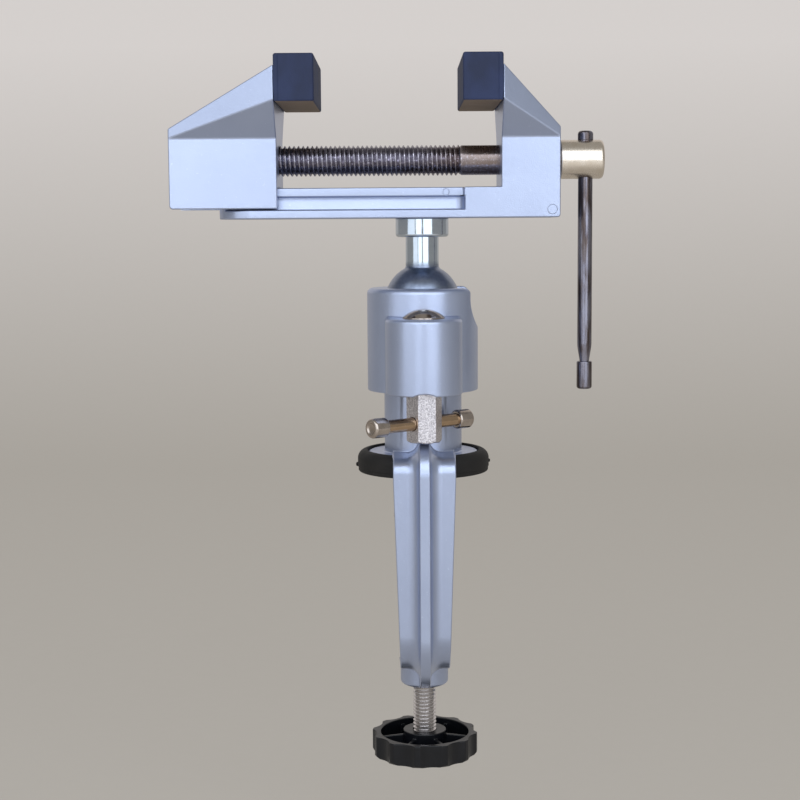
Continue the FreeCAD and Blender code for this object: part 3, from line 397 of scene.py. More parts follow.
def make_bar_nickel():
    """Nickel on the hanging bar, rougher in long streaks along it.

    The dark and bluish colours of the streaks are painted reflections of the room and its windows.
    """
    plate = Finish("bar_nickel_painted_reflections")
    streaks = plate.noise(1.6, 3, (1, 1, 0.12))
    haze = plate.noise(2.5, 3, (1, 1, 0.5))
    # Painted reflection: the dark and the bluish streak colours stand in for the room and its
    # windows mirrored along the bar.
    tone = plate.blend(streaks.above(0.5, 0.12), paint(62, 56, 62), paint(136, 138, 156))
    return plate.close(
        base_color=plate.blend(haze * 0.5, tone, paint(128, 112, 98)), metallic=1.0,
        roughness=0.16 + streaks * 0.14, normal=plate.relief(streaks, 0.02))


def make_zinc():
    """Zinc on the nut, with a pattern like frost."""
    plate = Finish("zinc_plate")
    frost = plate.noise(0.4, 3)
    return plate.close(
        base_color=plate.blend(frost.above(0.5, 0.22), paint(158, 154, 160), paint(230, 226, 230)),
        metallic=0.95, roughness=0.24 + frost * 0.2, normal=plate.relief(frost, 0.09))


def make_bright_steel():
    """Bare steel with fine turning marks round the Z axis."""
    steel = Finish("bright_steel")
    marks = steel.noise(1.5, 2, ALONG_Z_MARKS)
    return steel.close(
        base_color=steel.blend(marks, paint(186, 182, 180), paint(228, 225, 226)), metallic=1.0,
        roughness=0.17 + marks * 0.14, normal=steel.relief(marks, 0.012))


# %% [markdown]
# ## Rubber and plastic
# Rubber has no gloss of its own colour: a dark base, high roughness and a weak specular level. The
# jaw sleeves are dark rubber with rub marks, tinted blue as a painted sheen of the window light,
# and their undersides are warm brown, painted light reflected up from a shelf below. The foot is
# nearly black with a dusty bloom, and the knob is a moulded plastic with a soft sheen and slight
# ripples from its mould.

# %% Soft and moulded finishes
SLEEVE_UNDERSIDE = 120.72


def make_rubber(name, dark, worn, wear_size, underside=None):
    """Rubber with rub marks. underside, if given, is a warm colour below SLEEVE_UNDERSIDE.

    That colour is painted light, reflected up from a shelf below.
    """
    rubber = Finish(name)
    rubs = rubber.noise(wear_size, 4, (1, 1, 0.6))
    grain = rubber.noise(0.3, 2)
    tone = rubber.blend((rubs - 0.35) * 1.6, dark, worn)
    # Painted reflected light: a warm colour on the faces below SLEEVE_UNDERSIDE, where a shelf
    # would shine up.
    if underside:
        tone = rubber.blend(rubber.along("Z").past(SLEEVE_UNDERSIDE, 0.1), underside, tone)
    return rubber.close(
        base_color=tone, specular_ior_level=0.35,
        roughness=0.55 + rubs * 0.25, normal=rubber.relief(grain + rubs * 2, 0.05))


def make_knob_plastic():
    """Black moulded plastic with a soft sheen."""
    plastic = Finish("knob_plastic")
    ripple = plastic.noise(5, 2)
    grain = plastic.noise(0.25, 2)
    return plastic.close(
        base_color=plastic.blend(ripple, paint(9, 10, 14), paint(15, 17, 23)),
        specular_ior_level=0.4, roughness=0.22 + ripple * 0.14 + grain * 0.05,
        normal=plastic.relief(grain * 0.3 + ripple * 2, 0.06))


def make_nylon():
    """Pale nylon for the ball's seat."""
    nylon = Finish("seat_plastic")
    clouds = nylon.noise(3, 3)
    return nylon.close(
        base_color=nylon.blend(clouds, paint(216, 213, 203), paint(232, 230, 221)),
        roughness=0.42 + clouds * 0.15, normal=nylon.relief(nylon.noise(0.4, 2), 0.02))


finishes = {
    "cast_silver": make_cast_silver(),
    "chrome": make_chrome(),
    "dark_nickel": make_nickel("dark_nickel", ALONG_X_MARKS, dull=paint(110, 98, 88),
                               clear=paint(158, 146, 134)),
    "screw_nickel": make_screw_nickel(),
    "bar_nickel_painted_reflections": make_bar_nickel(),
    "tan_nickel": make_nickel("tan_nickel", EVEN_MARKS, dull=paint(172, 146, 118),
                              clear=paint(204, 176, 146), roughness=0.1),
    "bright_nickel": make_nickel("bright_nickel", EVEN_MARKS, dull=paint(150, 138, 128),
                                 clear=paint(208, 197, 188), roughness=0.06),
    "zinc_plate": make_zinc(),
    "bright_steel": make_bright_steel(),
    "black_rubber": make_rubber("black_rubber", paint(19, 18, 18), paint(38, 35, 33), 6),
    # Painted sheen: the blue in both sleeve colours stands in for window light on dark rubber; the
    # warm underside colour is painted light reflected from a shelf below.
    "jaw_rubber": make_rubber("jaw_rubber", paint(31, 40, 68), paint(52, 64, 102), 9,
                              underside=paint(132, 114, 98)),
    "knob_plastic": make_knob_plastic(),
    "seat_plastic": make_nylon(),
}
print("finishes:", ", ".join(finishes))

# %% [markdown]
# ## Paper
# The lamps shine on the vise and hardly reach the backdrop, so real paper would look dull there.
# More light would wash the vise out. Instead, whatever looks at the paper, be it the camera or a
# mirror-like surface, sees a part of its light as a plain glow, while the rest is real paper that
# keeps the vise's shadow. The glow is darker low down and lighter in front, towards the windows,
# so that upright metal mirrors a floor that gets brighter towards the light.

# %% Paper for the sweep
GLOW_TOP, GLOW_BACK, GLOW_FRONT = 300.0, -100.0, -400.0
GLOW_SHARE = 0.75


def make_paper():
    """Paper that camera and mirror rays see as GLOW_SHARE of glow and the rest of real paper."""
    sheet = Finish("paper")
    tone = sheet.blend(sheet.noise(6, 3), paint(222, 217, 210), paint(228, 223, 216))
    material = sheet.close(base_color=tone, roughness=0.9)
    high = sheet.node("ShaderNodeMapRange", None, {
        "Value": sheet.along("Z"), "From Min": FLOOR * MM, "From Max": GLOW_TOP * MM})
    near = sheet.node("ShaderNodeMapRange", None, {
        "Value": sheet.along("Y"), "From Min": GLOW_BACK * MM, "From Max": GLOW_FRONT * MM})
    tint = sheet.blend(high, paint(172, 167, 160), paint(226, 221, 219))
    glow = sheet.node("ShaderNodeEmission", None, {
        "Color": sheet.blend(near, tint, paint(238, 236, 233)), "Strength": 1.0})
    looks = [sheet.node("ShaderNodeLightPath", output=f"Is {kind} Ray")
             for kind in ("Camera", "Glossy", "Transmission")]
    bare = Wire(sheet, sheet.shader.outputs["BSDF"])
    mixed = sheet.node("ShaderNodeMixShader", None, {
        0: sum(looks) * GLOW_SHARE, 1: bare, 2: glow})
    sheet.feed(sheet.tree.nodes["Material Output"].inputs["Surface"], mixed)
    return material


paper.data.materials.append(make_paper())
print("paper:", len(paper.active_material.node_tree.nodes), "nodes")

# %% [markdown]
# ## Finishes on the carried-over solids
# The record says which nodes take which slot. A node whose shape is right as it is keeps its mesh,
# and only gets the material. Small hidden pieces, such as washers and the pin, stay like that, and
# so does the lock bolt, whose head is polished more than its slot's finish says.

# %% Give every node its finish
slot_of = {
    "cast_silver": ("clamp_body", "ball_housing", "vise_bed", "moving_jaw"),
    "chrome": ("ball_stud",),
    "dark_nickel": ("lead_screw", "lead_screw_washer", "screw_bar", "screw_bar_tip", "lock_bar",
                    "lock_bar_cap_left", "lock_bar_cap_right", "lock_bolt"),
    "zinc_plate": ("lock_nut", "lock_washer"),
    "bright_steel": ("clamp_screw", "pressure_plate", "stud_clip", "lead_screw_pin",
                     "knob_insert"),
    "black_rubber": ("foot_pad", "pressure_pad"),
    "jaw_rubber": ("fixed_jaw_sleeve", "moving_jaw_sleeve"),
    "knob_plastic": ("clamp_knob",),
    "seat_plastic": ("ball_seat",),
}
slot_of = {node: slot for slot, group in slot_of.items() for node in group}
finish_of = {**slot_of, "lock_bolt": "bright_nickel"}
for node, solid in nodes.items():
    solid.data.materials.clear()
    solid.data.materials.append(finishes[finish_of[node]])
print("nodes with a finish:", len(slot_of))

# %% [markdown]
# ## From a mesh to a finished piece
# Every new piece ends the same way. Its millimetres become metres, its faces are turned outwards,
# it is shaded smooth except across sharp edges, and it takes the body of the node that it stands
# for, and the finish of that node's slot unless another one is given. Blender guesses which way is
# outwards, and on a shape full of coves the guess can be wrong for the whole piece. A closed mesh
# tells: its volume comes out negative.

# %% Finish a piece
FLAT, AN_EDGE = math.radians(1), math.radians(30)


def finish_piece(name, bm, node, *others, sharp=32, finish=None):
    """An object from a bmesh in millimetres, in place of one or more nodes."""
    bmesh.ops.remove_doubles(bm, verts=bm.verts, dist=1e-4)
    bmesh.ops.recalc_face_normals(bm, faces=bm.faces)
    if bm.calc_volume(signed=True) < 0:
        bmesh.ops.reverse_faces(bm, faces=bm.faces)
    bmesh.ops.scale(bm, vec=(MM, MM, MM), verts=bm.verts)
    mesh = bpy.data.meshes.new(name)
    bm.to_mesh(mesh)
    bm.free()
    mesh.shade_smooth()
    mesh.set_sharp_from_angle(angle=math.radians(sharp))
    mesh.materials.append(finishes[finish or slot_of[node]])
    piece = bpy.data.objects.new(name, mesh)
    bpy.context.scene.collection.objects.link(piece)
    flat = piece.modifiers.new("flat faces stay flat", "WEIGHTED_NORMAL")
    flat.keep_sharp = True
    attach(piece, nodes[node]["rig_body"])
    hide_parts(node, *others)
    print(f"{name}: {len(mesh.polygons)} faces")
    return piece


def block(low, high):
    """A box as a bmesh, between its lowest and its highest corner."""
    bm = bmesh.new()
    bmesh.ops.create_cube(bm, size=1)
    bmesh.ops.scale(bm, vec=[top - base for base, top in zip(low, high)], verts=bm.verts)
    bmesh.ops.translate(bm, vec=[(base + top) / 2 for base, top in zip(low, high)],
                        verts=bm.verts)
    return bm


def plane_cut(bm, place, way, clear=False):
    """Cut every face at a plane through a place. clear drops what lies on the way past it."""
    return bmesh.ops.bisect_plane(
        bm, geom=bm.verts[:] + bm.edges[:] + bm.faces[:], dist=1e-5, plane_co=place,
        plane_no=way, clear_outer=clear)["geom_cut"]


def carved(bm, tool, operation="DIFFERENCE"):
    """A closed bmesh with another one taken out of it, or joined to it by a UNION."""
    pair = []
    for title, part in (("body", bm), ("tool", tool)):
        bmesh.ops.recalc_face_normals(part, faces=part.faces)
        mesh = bpy.data.meshes.new(title)
        part.to_mesh(mesh)
        part.free()
        pair.append(bpy.data.objects.new(title, mesh))
        bpy.context.scene.collection.objects.link(pair[-1])
    cut = pair[0].modifiers.new("cut", "BOOLEAN")
    cut.operation, cut.solver, cut.object = operation, "EXACT", pair[1]
    bpy.context.view_layer.update()
    result = bmesh.new()
    result.from_object(pair[0], bpy.context.evaluated_depsgraph_get())
    for item in pair:
        mesh = item.data
        bpy.data.objects.remove(item)
        bpy.data.meshes.remove(mesh)
    return result


def merged(node):
    """A copy of a node in millimetres, with its loose triangles merged into flat faces."""
    bm = bmesh.new()
    bm.from_mesh(nodes[node].data)
    bmesh.ops.scale(bm, vec=(1 / MM,) * 3, verts=bm.verts)
    return flattened(bm)


def flattened(bm):
    """The same bmesh with its faces joined where they lie in one plane."""
    bmesh.ops.remove_doubles(bm, verts=bm.verts, dist=1e-3)
    bmesh.ops.dissolve_limit(bm, angle_limit=FLAT, verts=bm.verts, edges=bm.edges)
    return bm


def softened(bm, width, hidden_above=math.inf):
    """The same bmesh with its edges rounded, except those that reach above a hidden height."""
    edges = [edge for edge in bm.edges
             if edge.is_manifold and edge.calc_face_angle() > AN_EDGE
             and max(vert.co.z for vert in edge.verts) < hidden_above]
    bmesh.ops.bevel(bm, geom=edges, offset=width, affect="EDGES", segments=3, profile=0.5,
                    material=-1, clamp_overlap=False)
    return bm


# %% [markdown]
# ## The castings
# Nothing that comes out of a mould has a knife edge. A copy of each solid has its loose triangles
# merged, its flat areas joined into single faces, and then its edges rounded by half a millimetre.
# A subdivision would round them too, but would also swell the flat faces. Before that, the bed and
# the jaw get one change. The solid bed has a dovetail's slope under its rail, while the cast one
# has a waist with a nearly upright wall, and the jaw's claws reach to it. A boolean takes the
# slope away on each side, and two more fill the claws. The tool for the waist is an outline that
# is extruded down.
# The arm's end is a hair wider than the boss that it runs into. Its last corners move in, so that
# the side of the arm runs smoothly into the boss. The bevel makes the outline of the long face
# under the rail cross itself at the tight corner, and such a face is drawn wrongly. So a cut parts
# the corner from the straight run, which leaves two faces that are drawn well.

# %% Tools for the waist and the claws
RAIL_UNDER, PLATE_TOP, BED_HALF_WIDTH = 91.05, 86.8, 15.0
WAIST, WAIST_LEAN, WAIST_LEFT = 8.0, 0.8, -70.0
CORNER_CENTRE, CORNER_RADIUS = (10.1, -11.6), 3.6
CLAW_LEFT, CLAW_RIGHT = -81.0, -47.4
CLAW_INNER, CLAW_OUTER = 9.35, 13.2
CLAW_BOTTOM, CLAW_TOP = 87.35, 90.1


def waist_tool(way):
    """What the waist has to lose on one side. way is -1 for the front and 1 for the back."""
    bm = bmesh.new()
    corner = arc(CORNER_CENTRE, CORNER_RADIUS, 0, 90, 12)
    outline = [(WAIST_LEFT, -BED_HALF_WIDTH), (corner[0][0], -BED_HALF_WIDTH), *corner,
               (WAIST_LEFT, -WAIST)]
    top = bm.faces.new([bm.verts.new((along, across, RAIL_UNDER)) for along, across in outline])
    low = bmesh.ops.extrude_face_region(bm, geom=[top])["geom"]
    for vert in (item for item in low if isinstance(item, bmesh.types.BMVert)):
        inside = max(vert.co.y - CORNER_CENTRE[1], 0) / CORNER_RADIUS
        vert.co += Vector((0, -WAIST_LEAN * inside, PLATE_TOP - RAIL_UNDER))
    bmesh.ops.scale(bm, vec=(1, -way, 1), verts=bm.verts)
    return bm


def claw_filler(way):
    """What a claw of the jaw lacks on one side."""
    near, far = sorted((way * CLAW_INNER, way * CLAW_OUTER))
    return block((CLAW_LEFT, near, CLAW_BOTTOM), (CLAW_RIGHT, far, CLAW_TOP))


# %% Castings with round edges
CAST_EDGE, COVERED_ABOVE = 0.45, 27.0
BOSS_RADIUS, ARM_END_BOTTOM, ARM_END_TOP, ARM_END_HALF = 8.1, -65.0, -57.5, 0.1
RAIL_CUT = 9.5

castings = {node: merged(node)
            for node in ("vise_bed", "moving_jaw", "ball_housing", "clamp_body")}
for way in (-1, 1):
    castings["vise_bed"] = carved(castings["vise_bed"], waist_tool(way))
for vert in castings["clamp_body"].verts:
    if (abs(vert.co.x) > BOSS_RADIUS and abs(vert.co.y) < ARM_END_HALF
            and ARM_END_BOTTOM < vert.co.z < ARM_END_TOP):
        vert.co.x = math.copysign(BOSS_RADIUS, vert.co.x)
for cast_node, casting in castings.items():
    casting = softened(flattened(casting), CAST_EDGE, hidden_above=(
        COVERED_ABOVE if cast_node == "clamp_body" else math.inf))
    if cast_node == "vise_bed":
        plane_cut(casting, (RAIL_CUT, 0, 0), (1, 0, 0))
    if cast_node == "moving_jaw":
        casting = carved(carved(casting, claw_filler(-1), "UNION"), claw_filler(1), "UNION")
    print(cast_node, "open edges:", sum(not edge.is_manifold for edge in casting.edges))
    finish_piece(cast_node + "_casting", casting, cast_node)


# %% [markdown]
# ## Turned pieces
# A lathe makes a piece from an outline, and so does `spin`. The outline is a row of points, radius
# and height, and a third number rounds a corner by a bevel of its vertex before the spin, so that
# every edge of the finished piece catches the light.

# %% Turn an outline
def turned(outline, steps=72, place=Matrix.Identity(4)):
    """A bmesh turned about the Z axis and then put in its place by a matrix.

    A point of the outline is (radius, height) or (radius, height, rounding).
    """
    bm = bmesh.new()
    points = [bm.verts.new((spot[0], 0, spot[1])) for spot in outline]
    for start, end in zip(points, points[1:]):
        bm.edges.new((start, end))
    for point, spot in zip(points, outline):
        if len(spot) == 3:
            bmesh.ops.bevel(bm, geom=[point], offset=spot[2], affect="VERTICES", segments=4,
                            profile=0.5, material=-1)
    bmesh.ops.spin(bm, geom=bm.verts[:] + bm.edges[:], cent=(0, 0, 0), axis=Z_AXIS,
                   angle=FULL_TURN, steps=steps, use_merge=True)
    bmesh.ops.remove_doubles(bm, verts=bm.verts, dist=1e-4)
    bmesh.ops.transform(bm, matrix=place, verts=bm.verts)
    return bm


# %% [markdown]
# ## Threads
# A thread is one outline of a single pitch, swept round the axis while it climbs. `spin` does
# both: each step turns the outline a little and moves it a little. After a full turn the outline
# has climbed one pitch and meets its own start, so merging doubles closes the surface. A cylinder
# with a bump texture would look smooth against the light, where real crests stand out. The ends
# are cut square by a plane and narrowed to a cone, as a screw is before it is cut.

# %% Cut a thread
STEPS_A_TURN, CREST_SHARE = 28, 0.09


def threaded(radius, depth, pitch, bottom, top, lead_in):
    """A threaded rod along Z from bottom to top, with its ends narrowed over lead_in."""
    turns = int((top - bottom) / pitch) + 2
    crest = pitch * CREST_SHARE
    outline = [(radius - depth, 0), (radius, pitch / 2 - crest), (radius, pitch / 2 + crest),
               (radius - depth, pitch)]
    bm = bmesh.new()
    points = [bm.verts.new((reach, 0, bottom - pitch + height)) for reach, height in outline]
    for start, end in zip(points, points[1:]):
        bm.edges.new((start, end))
    bmesh.ops.spin(bm, geom=bm.verts[:] + bm.edges[:], cent=(0, 0, 0), axis=Z_AXIS,
                   angle=FULL_TURN * turns, steps=STEPS_A_TURN * turns,
                   dvec=(0, 0, pitch / STEPS_A_TURN))
    bmesh.ops.remove_doubles(bm, verts=bm.verts, dist=1e-3)
    for height, way in ((bottom, -1), (top, 1)):
        cut = plane_cut(bm, (0, 0, height), (0, 0, way), clear=True)
        rim = [item for item in cut if isinstance(item, bmesh.types.BMEdge) and item.is_boundary]
        bmesh.ops.edgeloop_fill(bm, edges=rim)
    for vert in bm.verts:
        inside = min(vert.co.z - bottom, top - vert.co.z)
        room = radius - depth + max(inside, 0) / lead_in * depth
        reach = math.hypot(vert.co.x, vert.co.y)
        if reach > room:
            vert.co.xy *= room / reach
    return bm


def join(bm, other):
    """Put another bmesh into the first."""
    part = bpy.data.meshes.new("part")
    other.to_mesh(part)
    other.free()
    bm.from_mesh(part)
    bpy.data.meshes.remove(part)
    return bm


# %% [markdown]
# ## Lead screw
# The jaw's screw is an M10 rod with its coarse 1.5 mm pitch, a plain journal where the fixed jaw
# carries it, and a thick head with a cross hole for the bar. The hole is a real one: the head is
# bored by a boolean, because an inset could not follow the head's round side.

# %% Turn and thread the lead screw
SCREW_HEIGHT = 103.0
SCREW_RADIUS = 5.0
SCREW_LEFT, THREAD_END = -72.0, 13.5
LEAD_DEPTH, LEAD_PITCH, LEAD_CONE = 0.86, 1.5, 1.4
JOURNAL = SCREW_RADIUS - 0.15
NOSE_START, NOSE_END, NOSE_RADIUS = THREAD_END - 1.6, THREAD_END - 0.4, JOURNAL - 0.75
GROOVE_LEFT, GROOVE_RIGHT, GROOVE_BOTTOM = 33.65, 36.35, JOURNAL - 1.05
HEAD_LEFT, HEAD_RIGHT, HEAD_RADIUS = 45.4, 59.8, 6.4
BAR_PLACE, BAR_RADIUS = 54.0, 2.4
HOLE_RADIUS, DRILL_HALF = BAR_RADIUS + 0.1, 8
ALONG_X = Matrix.Rotation(math.pi / 2, 4, "Y")

shank = turned([
    (0, NOSE_START), (NOSE_RADIUS, NOSE_START), (JOURNAL, NOSE_END),
    (JOURNAL, GROOVE_LEFT, 0.2), (GROOVE_BOTTOM, GROOVE_LEFT), (GROOVE_BOTTOM, GROOVE_RIGHT),
    (JOURNAL, GROOVE_RIGHT, 0.2), (JOURNAL, HEAD_LEFT), (HEAD_RADIUS, HEAD_LEFT, 0.5),
    (HEAD_RADIUS, HEAD_RIGHT, 1.3), (0, HEAD_RIGHT)])
drill = turned([
    (0, -DRILL_HALF), (HOLE_RADIUS, -DRILL_HALF), (HOLE_RADIUS, DRILL_HALF), (0, DRILL_HALF)],
    steps=32, place=Matrix.Translation((0, 0, BAR_PLACE)) @ ALONG_X)
thread = threaded(SCREW_RADIUS, LEAD_DEPTH, LEAD_PITCH, SCREW_LEFT, THREAD_END, LEAD_CONE)
lead = join(carved(shank, drill), thread)
bmesh.ops.transform(lead, verts=lead.verts,
                    matrix=Matrix.Translation((0, 0, SCREW_HEIGHT)) @ ALONG_X)
finish_piece("lead_screw_thread", lead, "lead_screw", finish="screw_nickel")

# %% [markdown]
# ## The bar in its head
# The bar slides through the screw's head by its own weight. Its top is upset to a small mushroom,
# its lower end tapers into a thin neck, and a round tip is pressed on there.

# %% Turn the bar and its tip
BAR_BOTTOM, TIP_TOP = 27.0, 36.3
TIP_RADIUS, NECK_RADIUS = 2.55, 1.55
NECK_BOTTOM, TAPER_TOP = BAR_BOTTOM + 1.6, TIP_TOP + 5.2
HANGS_AT = SCREW_HEIGHT + HEAD_RADIUS
BAR_TOP = HANGS_AT + 2.9
AT_BAR = Matrix.Translation((BAR_PLACE, 0, 0))

bar = turned([
    (0, NECK_BOTTOM), (NECK_RADIUS, NECK_BOTTOM), (NECK_RADIUS, TIP_TOP),
    (BAR_RADIUS, TAPER_TOP, 1.0), (BAR_RADIUS, HANGS_AT, 0.2), (TIP_RADIUS, HANGS_AT, 0.2),
    (TIP_RADIUS, BAR_TOP, 1.1), (0, BAR_TOP)], steps=48, place=AT_BAR)
finish_piece("screw_bar_rod", bar, "screw_bar", finish="bar_nickel_painted_reflections")

tip = turned([
    (0, BAR_BOTTOM), (TIP_RADIUS, BAR_BOTTOM, 0.9), (TIP_RADIUS, TIP_TOP, 0.45),
    (NECK_RADIUS, TIP_TOP), (NECK_RADIUS, NECK_BOTTOM), (0, NECK_BOTTOM)], steps=48,
    place=AT_BAR)
finish_piece("screw_bar_end", tip, "screw_bar_tip", finish="bar_nickel_painted_reflections")

# %% [markdown]
# ## Ball and stud
# One outline gives the ball, the neck that leaves it in a small hollow curve, the collar under the
# bed and the stud that the bed turns on. Chrome shows every facet, so the ball's arc is fine.

# %% Turn the ball stud
BALL_HEIGHT, BALL_RADIUS = 56.5, 12.5
STUD_NECK, NECK_FLARE = 5.5, 1.2
COLLAR_RADIUS, COLLAR_BOTTOM, BED_BOTTOM = 8.8, 77.9, 84.0
STUD_RADIUS, STUD_TOP = 4.0, 93.8
CLIP_SEAT, CLIP_RADIUS = STUD_TOP - 1, STUD_RADIUS - 0.8

flare_centre = (STUD_NECK + NECK_FLARE, BALL_HEIGHT + math.sqrt(
    (BALL_RADIUS + NECK_FLARE) ** 2 - (STUD_NECK + NECK_FLARE) ** 2))
leaves_at = math.degrees(math.acos(flare_centre[0] / (BALL_RADIUS + NECK_FLARE)))
ball_outline = arc((0, BALL_HEIGHT), BALL_RADIUS, -90, leaves_at, 48)
flare_outline = arc(flare_centre, NECK_FLARE, 180 + leaves_at, 180, 6)
stud = turned([
    (0, BALL_HEIGHT - BALL_RADIUS), *ball_outline[1:], *flare_outline[1:],
    (STUD_NECK, COLLAR_BOTTOM), (COLLAR_RADIUS, COLLAR_BOTTOM, 1.0),
    (COLLAR_RADIUS, BED_BOTTOM, 0.25), (STUD_RADIUS, BED_BOTTOM), (STUD_RADIUS, CLIP_SEAT),
    (CLIP_RADIUS, CLIP_SEAT), (CLIP_RADIUS, STUD_TOP), (0, STUD_TOP)], steps=96)
finish_piece("ball_stud_plated", stud, "ball_stud")

# %% [markdown]
# ## Clamp screw
# An M8 rod with a ball tip, which the pressure plate snaps over. The thread runs down into the
# knob.

# %% Turn and thread the clamp screw
TIP_CENTRE, SWIVEL_RADIUS = -18.3, 2.9
SWIVEL_NECK = SWIVEL_RADIUS - 0.9
CLAMP_RADIUS, CLAMP_DEPTH, CLAMP_PITCH, CLAMP_CONE = 3.95, 0.7, 1.25, 1.2
CLAMP_TOP, CLAMP_BOTTOM = -24.2, -96.6

ball_starts = -math.degrees(math.acos(SWIVEL_NECK / SWIVEL_RADIUS))
swivel = turned([
    (0, CLAMP_TOP - 2), (SWIVEL_NECK, CLAMP_TOP - 2),
    *arc((0, TIP_CENTRE), SWIVEL_RADIUS, ball_starts, 90, 12)[:-1],
    (0, TIP_CENTRE + SWIVEL_RADIUS)], steps=40)
thread = threaded(CLAMP_RADIUS, CLAMP_DEPTH, CLAMP_PITCH, CLAMP_BOTTOM, CLAMP_TOP, CLAMP_CONE)
finish_piece("clamp_screw_thread", join(swivel, thread), "clamp_screw")

# %% [markdown]
# ## Rubber foot
# The foot is a boot, stretched over the disc's edge: a thick ring with a round shoulder and a thin
# lip, and a floor below the disc. Where the arm leaves the disc the lip is cut open, and a boolean
# takes that opening out of the turned ring. A fine step runs round low on its side, where the
# mould closed, and two crumbs of flash are left there.

# %% Mould the foot
FOOT_RADIUS, FOOT_HEIGHT, FOOT_SHOULDER, FOOT_FLOOR = 22.0, 7.2, 3.0, 2.2
DISC_RADIUS = 18.7
MOULD_LINE, LOW_SIDE = 1.5, FOOT_RADIUS - 0.22
ARM_WAY_HALF, ARM_WAY_FRONT, ARM_WAY_BACK, ARM_WAY_BOTTOM = 10.4, -23.0, -9.35, 5.3
CRUMBS = ((-22.15, 2.0, 0.75), (22.1, 3.0, 0.6))
CRUMB_SHAPE = (0.7, 1.2, 1)

foot = turned([
    (0, 0), (LOW_SIDE, 0, 0.5), (LOW_SIDE, MOULD_LINE, 0.1), (FOOT_RADIUS, MOULD_LINE, 0.15),
    *arc((FOOT_RADIUS - FOOT_SHOULDER, FOOT_HEIGHT - FOOT_SHOULDER), FOOT_SHOULDER, 0, 84, 10),
    (DISC_RADIUS + 0.15, FOOT_HEIGHT, 0.12), (DISC_RADIUS, FOOT_HEIGHT - 0.3),
    (DISC_RADIUS, FOOT_FLOOR), (0, FOOT_FLOOR)], steps=96)
arm_way = block((-ARM_WAY_HALF, ARM_WAY_FRONT, ARM_WAY_BOTTOM),
                (ARM_WAY_HALF, ARM_WAY_BACK, ARM_WAY_BOTTOM + FOOT_HEIGHT))
foot = carved(foot, arm_way)
for across, height, size in CRUMBS:
    crumb = bmesh.ops.create_icosphere(foot, subdivisions=2, radius=size)["verts"]
    bmesh.ops.scale(foot, verts=crumb, vec=CRUMB_SHAPE)
    bmesh.ops.translate(foot, verts=crumb, vec=(across, 0, height))
finish_piece("rubber_foot", foot, "foot_pad")

# %% [markdown]
# ## Jaw sleeves
# A sleeve is a soft rubber box with a pocket, pushed over the jaw's tongue. It starts as a cube.
# Its back face is inset and pushed in for the pocket, its outer edges are rounded, and a grid of
# cuts then lets the walls move: the sides swell a little past the jaw's face, and a shallow groove
# runs round near the back edge, where the mould's core plate closed.

# %% Mould the sleeves
SLEEVE_THICKNESS, SLEEVE_HALF_WIDTH = 12.75, 24.2
SLEEVE_BOTTOM, SLEEVE_HEIGHT = 120.6, 15.0
POCKET_REACH, POCKET_HALF_WIDTH, POCKET_BOTTOM, POCKET_TOP = 9.4, 21.0, 124.4, 130.8
JAW_HALF_WIDTH = 24.0
SLEEVE_EDGE, SLEEVE_RINGS = 0.7, 8
SWELL, GROOVE_AT, GROOVE_HALF, GROOVE_DEPTH = 0.45, 1.5, 0.35, 0.22


def sleeve(face, way):
    """A sleeve whose back lies on a jaw's face. way is 1 if it points along X, or else -1."""
    bm = block((0, -SLEEVE_HALF_WIDTH, SLEEVE_BOTTOM),
               (SLEEVE_THICKNESS, SLEEVE_HALF_WIDTH, SLEEVE_BOTTOM + SLEEVE_HEIGHT))
    back = [side for side in bm.faces if side.calc_center_median().x < 1e-4]
    bmesh.ops.inset_region(bm, faces=back, thickness=2)
    for vert in back[0].verts:
        vert.co.y = math.copysign(POCKET_HALF_WIDTH, vert.co.y)
        vert.co.z = POCKET_TOP if vert.co.z > SLEEVE_BOTTOM + SLEEVE_HEIGHT / 2 else POCKET_BOTTOM
    floor = bmesh.ops.extrude_discrete_faces(bm, faces=back)["faces"]
    bmesh.ops.translate(bm, vec=(POCKET_REACH, 0, 0), verts=floor[0].verts)
    outside = [edge for edge in bm.edges if all(
        vert.co.x > SLEEVE_THICKNESS - 1e-3 or abs(vert.co.y) > SLEEVE_HALF_WIDTH - 1e-3
        for vert in edge.verts) and edge.calc_face_angle(0) > 1]
    bmesh.ops.bevel(bm, geom=outside, offset=SLEEVE_EDGE, affect="EDGES", segments=3,
                    profile=0.5, material=-1)
    for shift in (-GROOVE_HALF, 0, GROOVE_HALF):
        plane_cut(bm, (GROOVE_AT + shift, 0, 0), (1, 0, 0))
    for ring in range(1, SLEEVE_RINGS):
        plane_cut(bm, (0, 0, SLEEVE_BOTTOM + SLEEVE_HEIGHT * ring / SLEEVE_RINGS), Z_AXIS)
    for vert in bm.verts:
        if abs(vert.co.y) < JAW_HALF_WIDTH - 1 and SLEEVE_BOTTOM + 1 < vert.co.z:
            continue
        rise = (vert.co.z - SLEEVE_BOTTOM) / SLEEVE_HEIGHT
        if abs(vert.co.x - GROOVE_AT) < 1e-3 and abs(vert.co.y) > JAW_HALF_WIDTH:
            vert.co.y -= math.copysign(GROOVE_DEPTH, vert.co.y)
        elif abs(vert.co.y) > JAW_HALF_WIDTH and vert.co.x < 1:
            vert.co.x -= SWELL * math.sin(math.pi * min(max(rise, 0), 1))
    bmesh.ops.scale(bm, vec=(way, 1, 1), verts=bm.verts)
    bmesh.ops.translate(bm, vec=(face, 0, 0), verts=bm.verts)
    return bm


FIXED_FACE, MOVING_FACE = 25.5, -46.8
finish_piece("fixed_sleeve", sleeve(FIXED_FACE, -1), "fixed_jaw_sleeve", sharp=50)
finish_piece("moving_sleeve", sleeve(MOVING_FACE, 1), "moving_jaw_sleeve", sharp=50)

# %% [markdown]
# ## Lock nut and its bar
# The nut is a long hexagon with its corners turned off at both ends. A copy of the solid keeps its
# real cross hole, and gets a fine bevel. The bar's ends are closed by two small turned caps, each
# with a shallow dimple.

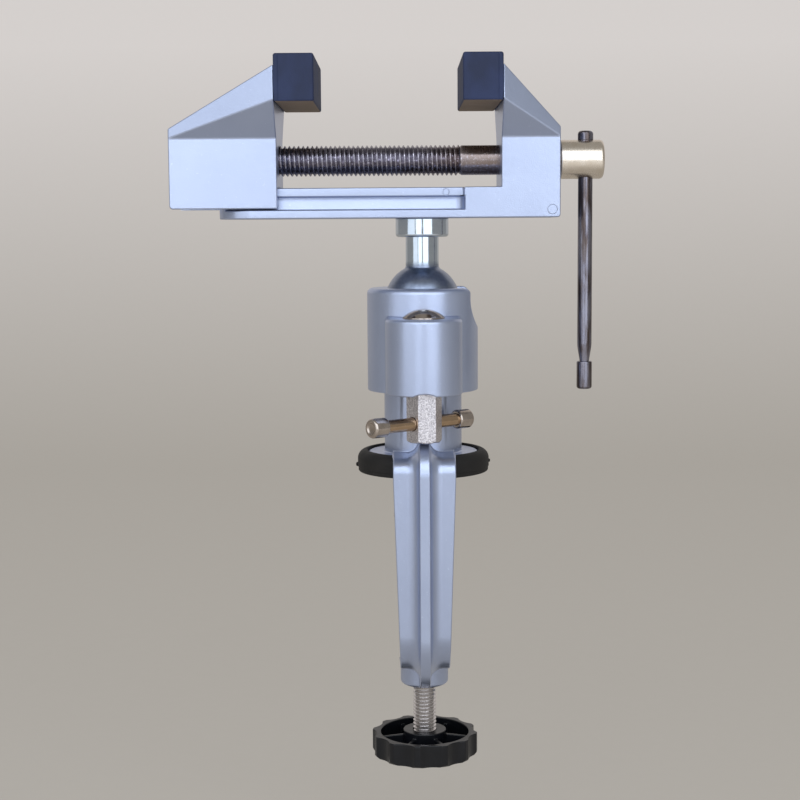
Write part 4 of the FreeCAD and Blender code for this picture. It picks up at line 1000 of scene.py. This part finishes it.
# %% Finish the lock
LOCK_OFFSET, LOCK_ANGLE, LOCK_BAR_HEIGHT = 25.3, 40.0, 18.9
LOCK_BAR_RADIUS, LOCK_BAR_HALF, LOCK_BAR_SHIFT = 2.1, 20.6, 1.4
CAP_RADIUS, CAP_LENGTH = 3.1, 5.8
DIMPLE_FLOOR, DIMPLE_INNER, DIMPLE_OUTER = LOCK_BAR_HALF - 0.5, 1.5, 1.9
ROD_HALF, NUT_EDGE = LOCK_BAR_HALF - 1.2, 0.18
AT_LOCK = (Matrix.Translation((0, -LOCK_OFFSET, LOCK_BAR_HEIGHT))
           @ Matrix.Rotation(math.radians(LOCK_ANGLE), 4, "Z") @ ALONG_X
           @ Matrix.Translation((0, 0, -LOCK_BAR_SHIFT)))

finish_piece("lock_nut_plated", softened(merged("lock_nut"), NUT_EDGE), "lock_nut")

rod = turned([
    (0, -ROD_HALF), (LOCK_BAR_RADIUS, -ROD_HALF), (LOCK_BAR_RADIUS, ROD_HALF), (0, ROD_HALF)],
    steps=48, place=AT_LOCK)
finish_piece("lock_bar_rod", rod, "lock_bar", finish="tan_nickel")

for side, way in (("left", -1), ("right", 1)):
    cap = turned([
        (0, DIMPLE_FLOOR), (DIMPLE_INNER, DIMPLE_FLOOR, 0.3), (DIMPLE_OUTER, LOCK_BAR_HALF, 0.2),
        (CAP_RADIUS, LOCK_BAR_HALF, 0.8), (CAP_RADIUS, LOCK_BAR_HALF - CAP_LENGTH, 0.7),
        (LOCK_BAR_RADIUS, LOCK_BAR_HALF - CAP_LENGTH), (LOCK_BAR_RADIUS, ROD_HALF),
        (0, ROD_HALF)], steps=48, place=AT_LOCK @ Matrix.Scale(way, 4, Z_AXIS))
    finish_piece(f"lock_cap_{side}", cap, f"lock_bar_cap_{side}", finish="bright_nickel")

# %% [markdown]
# ## Knob
# The knob is moulded, so its copy gets the same small round edges that a mould leaves.

# %% Finish the knob
KNOB_EDGE = 0.3

finish_piece("hand_knob", softened(merged("clamp_knob"), KNOB_EDGE), "clamp_knob")
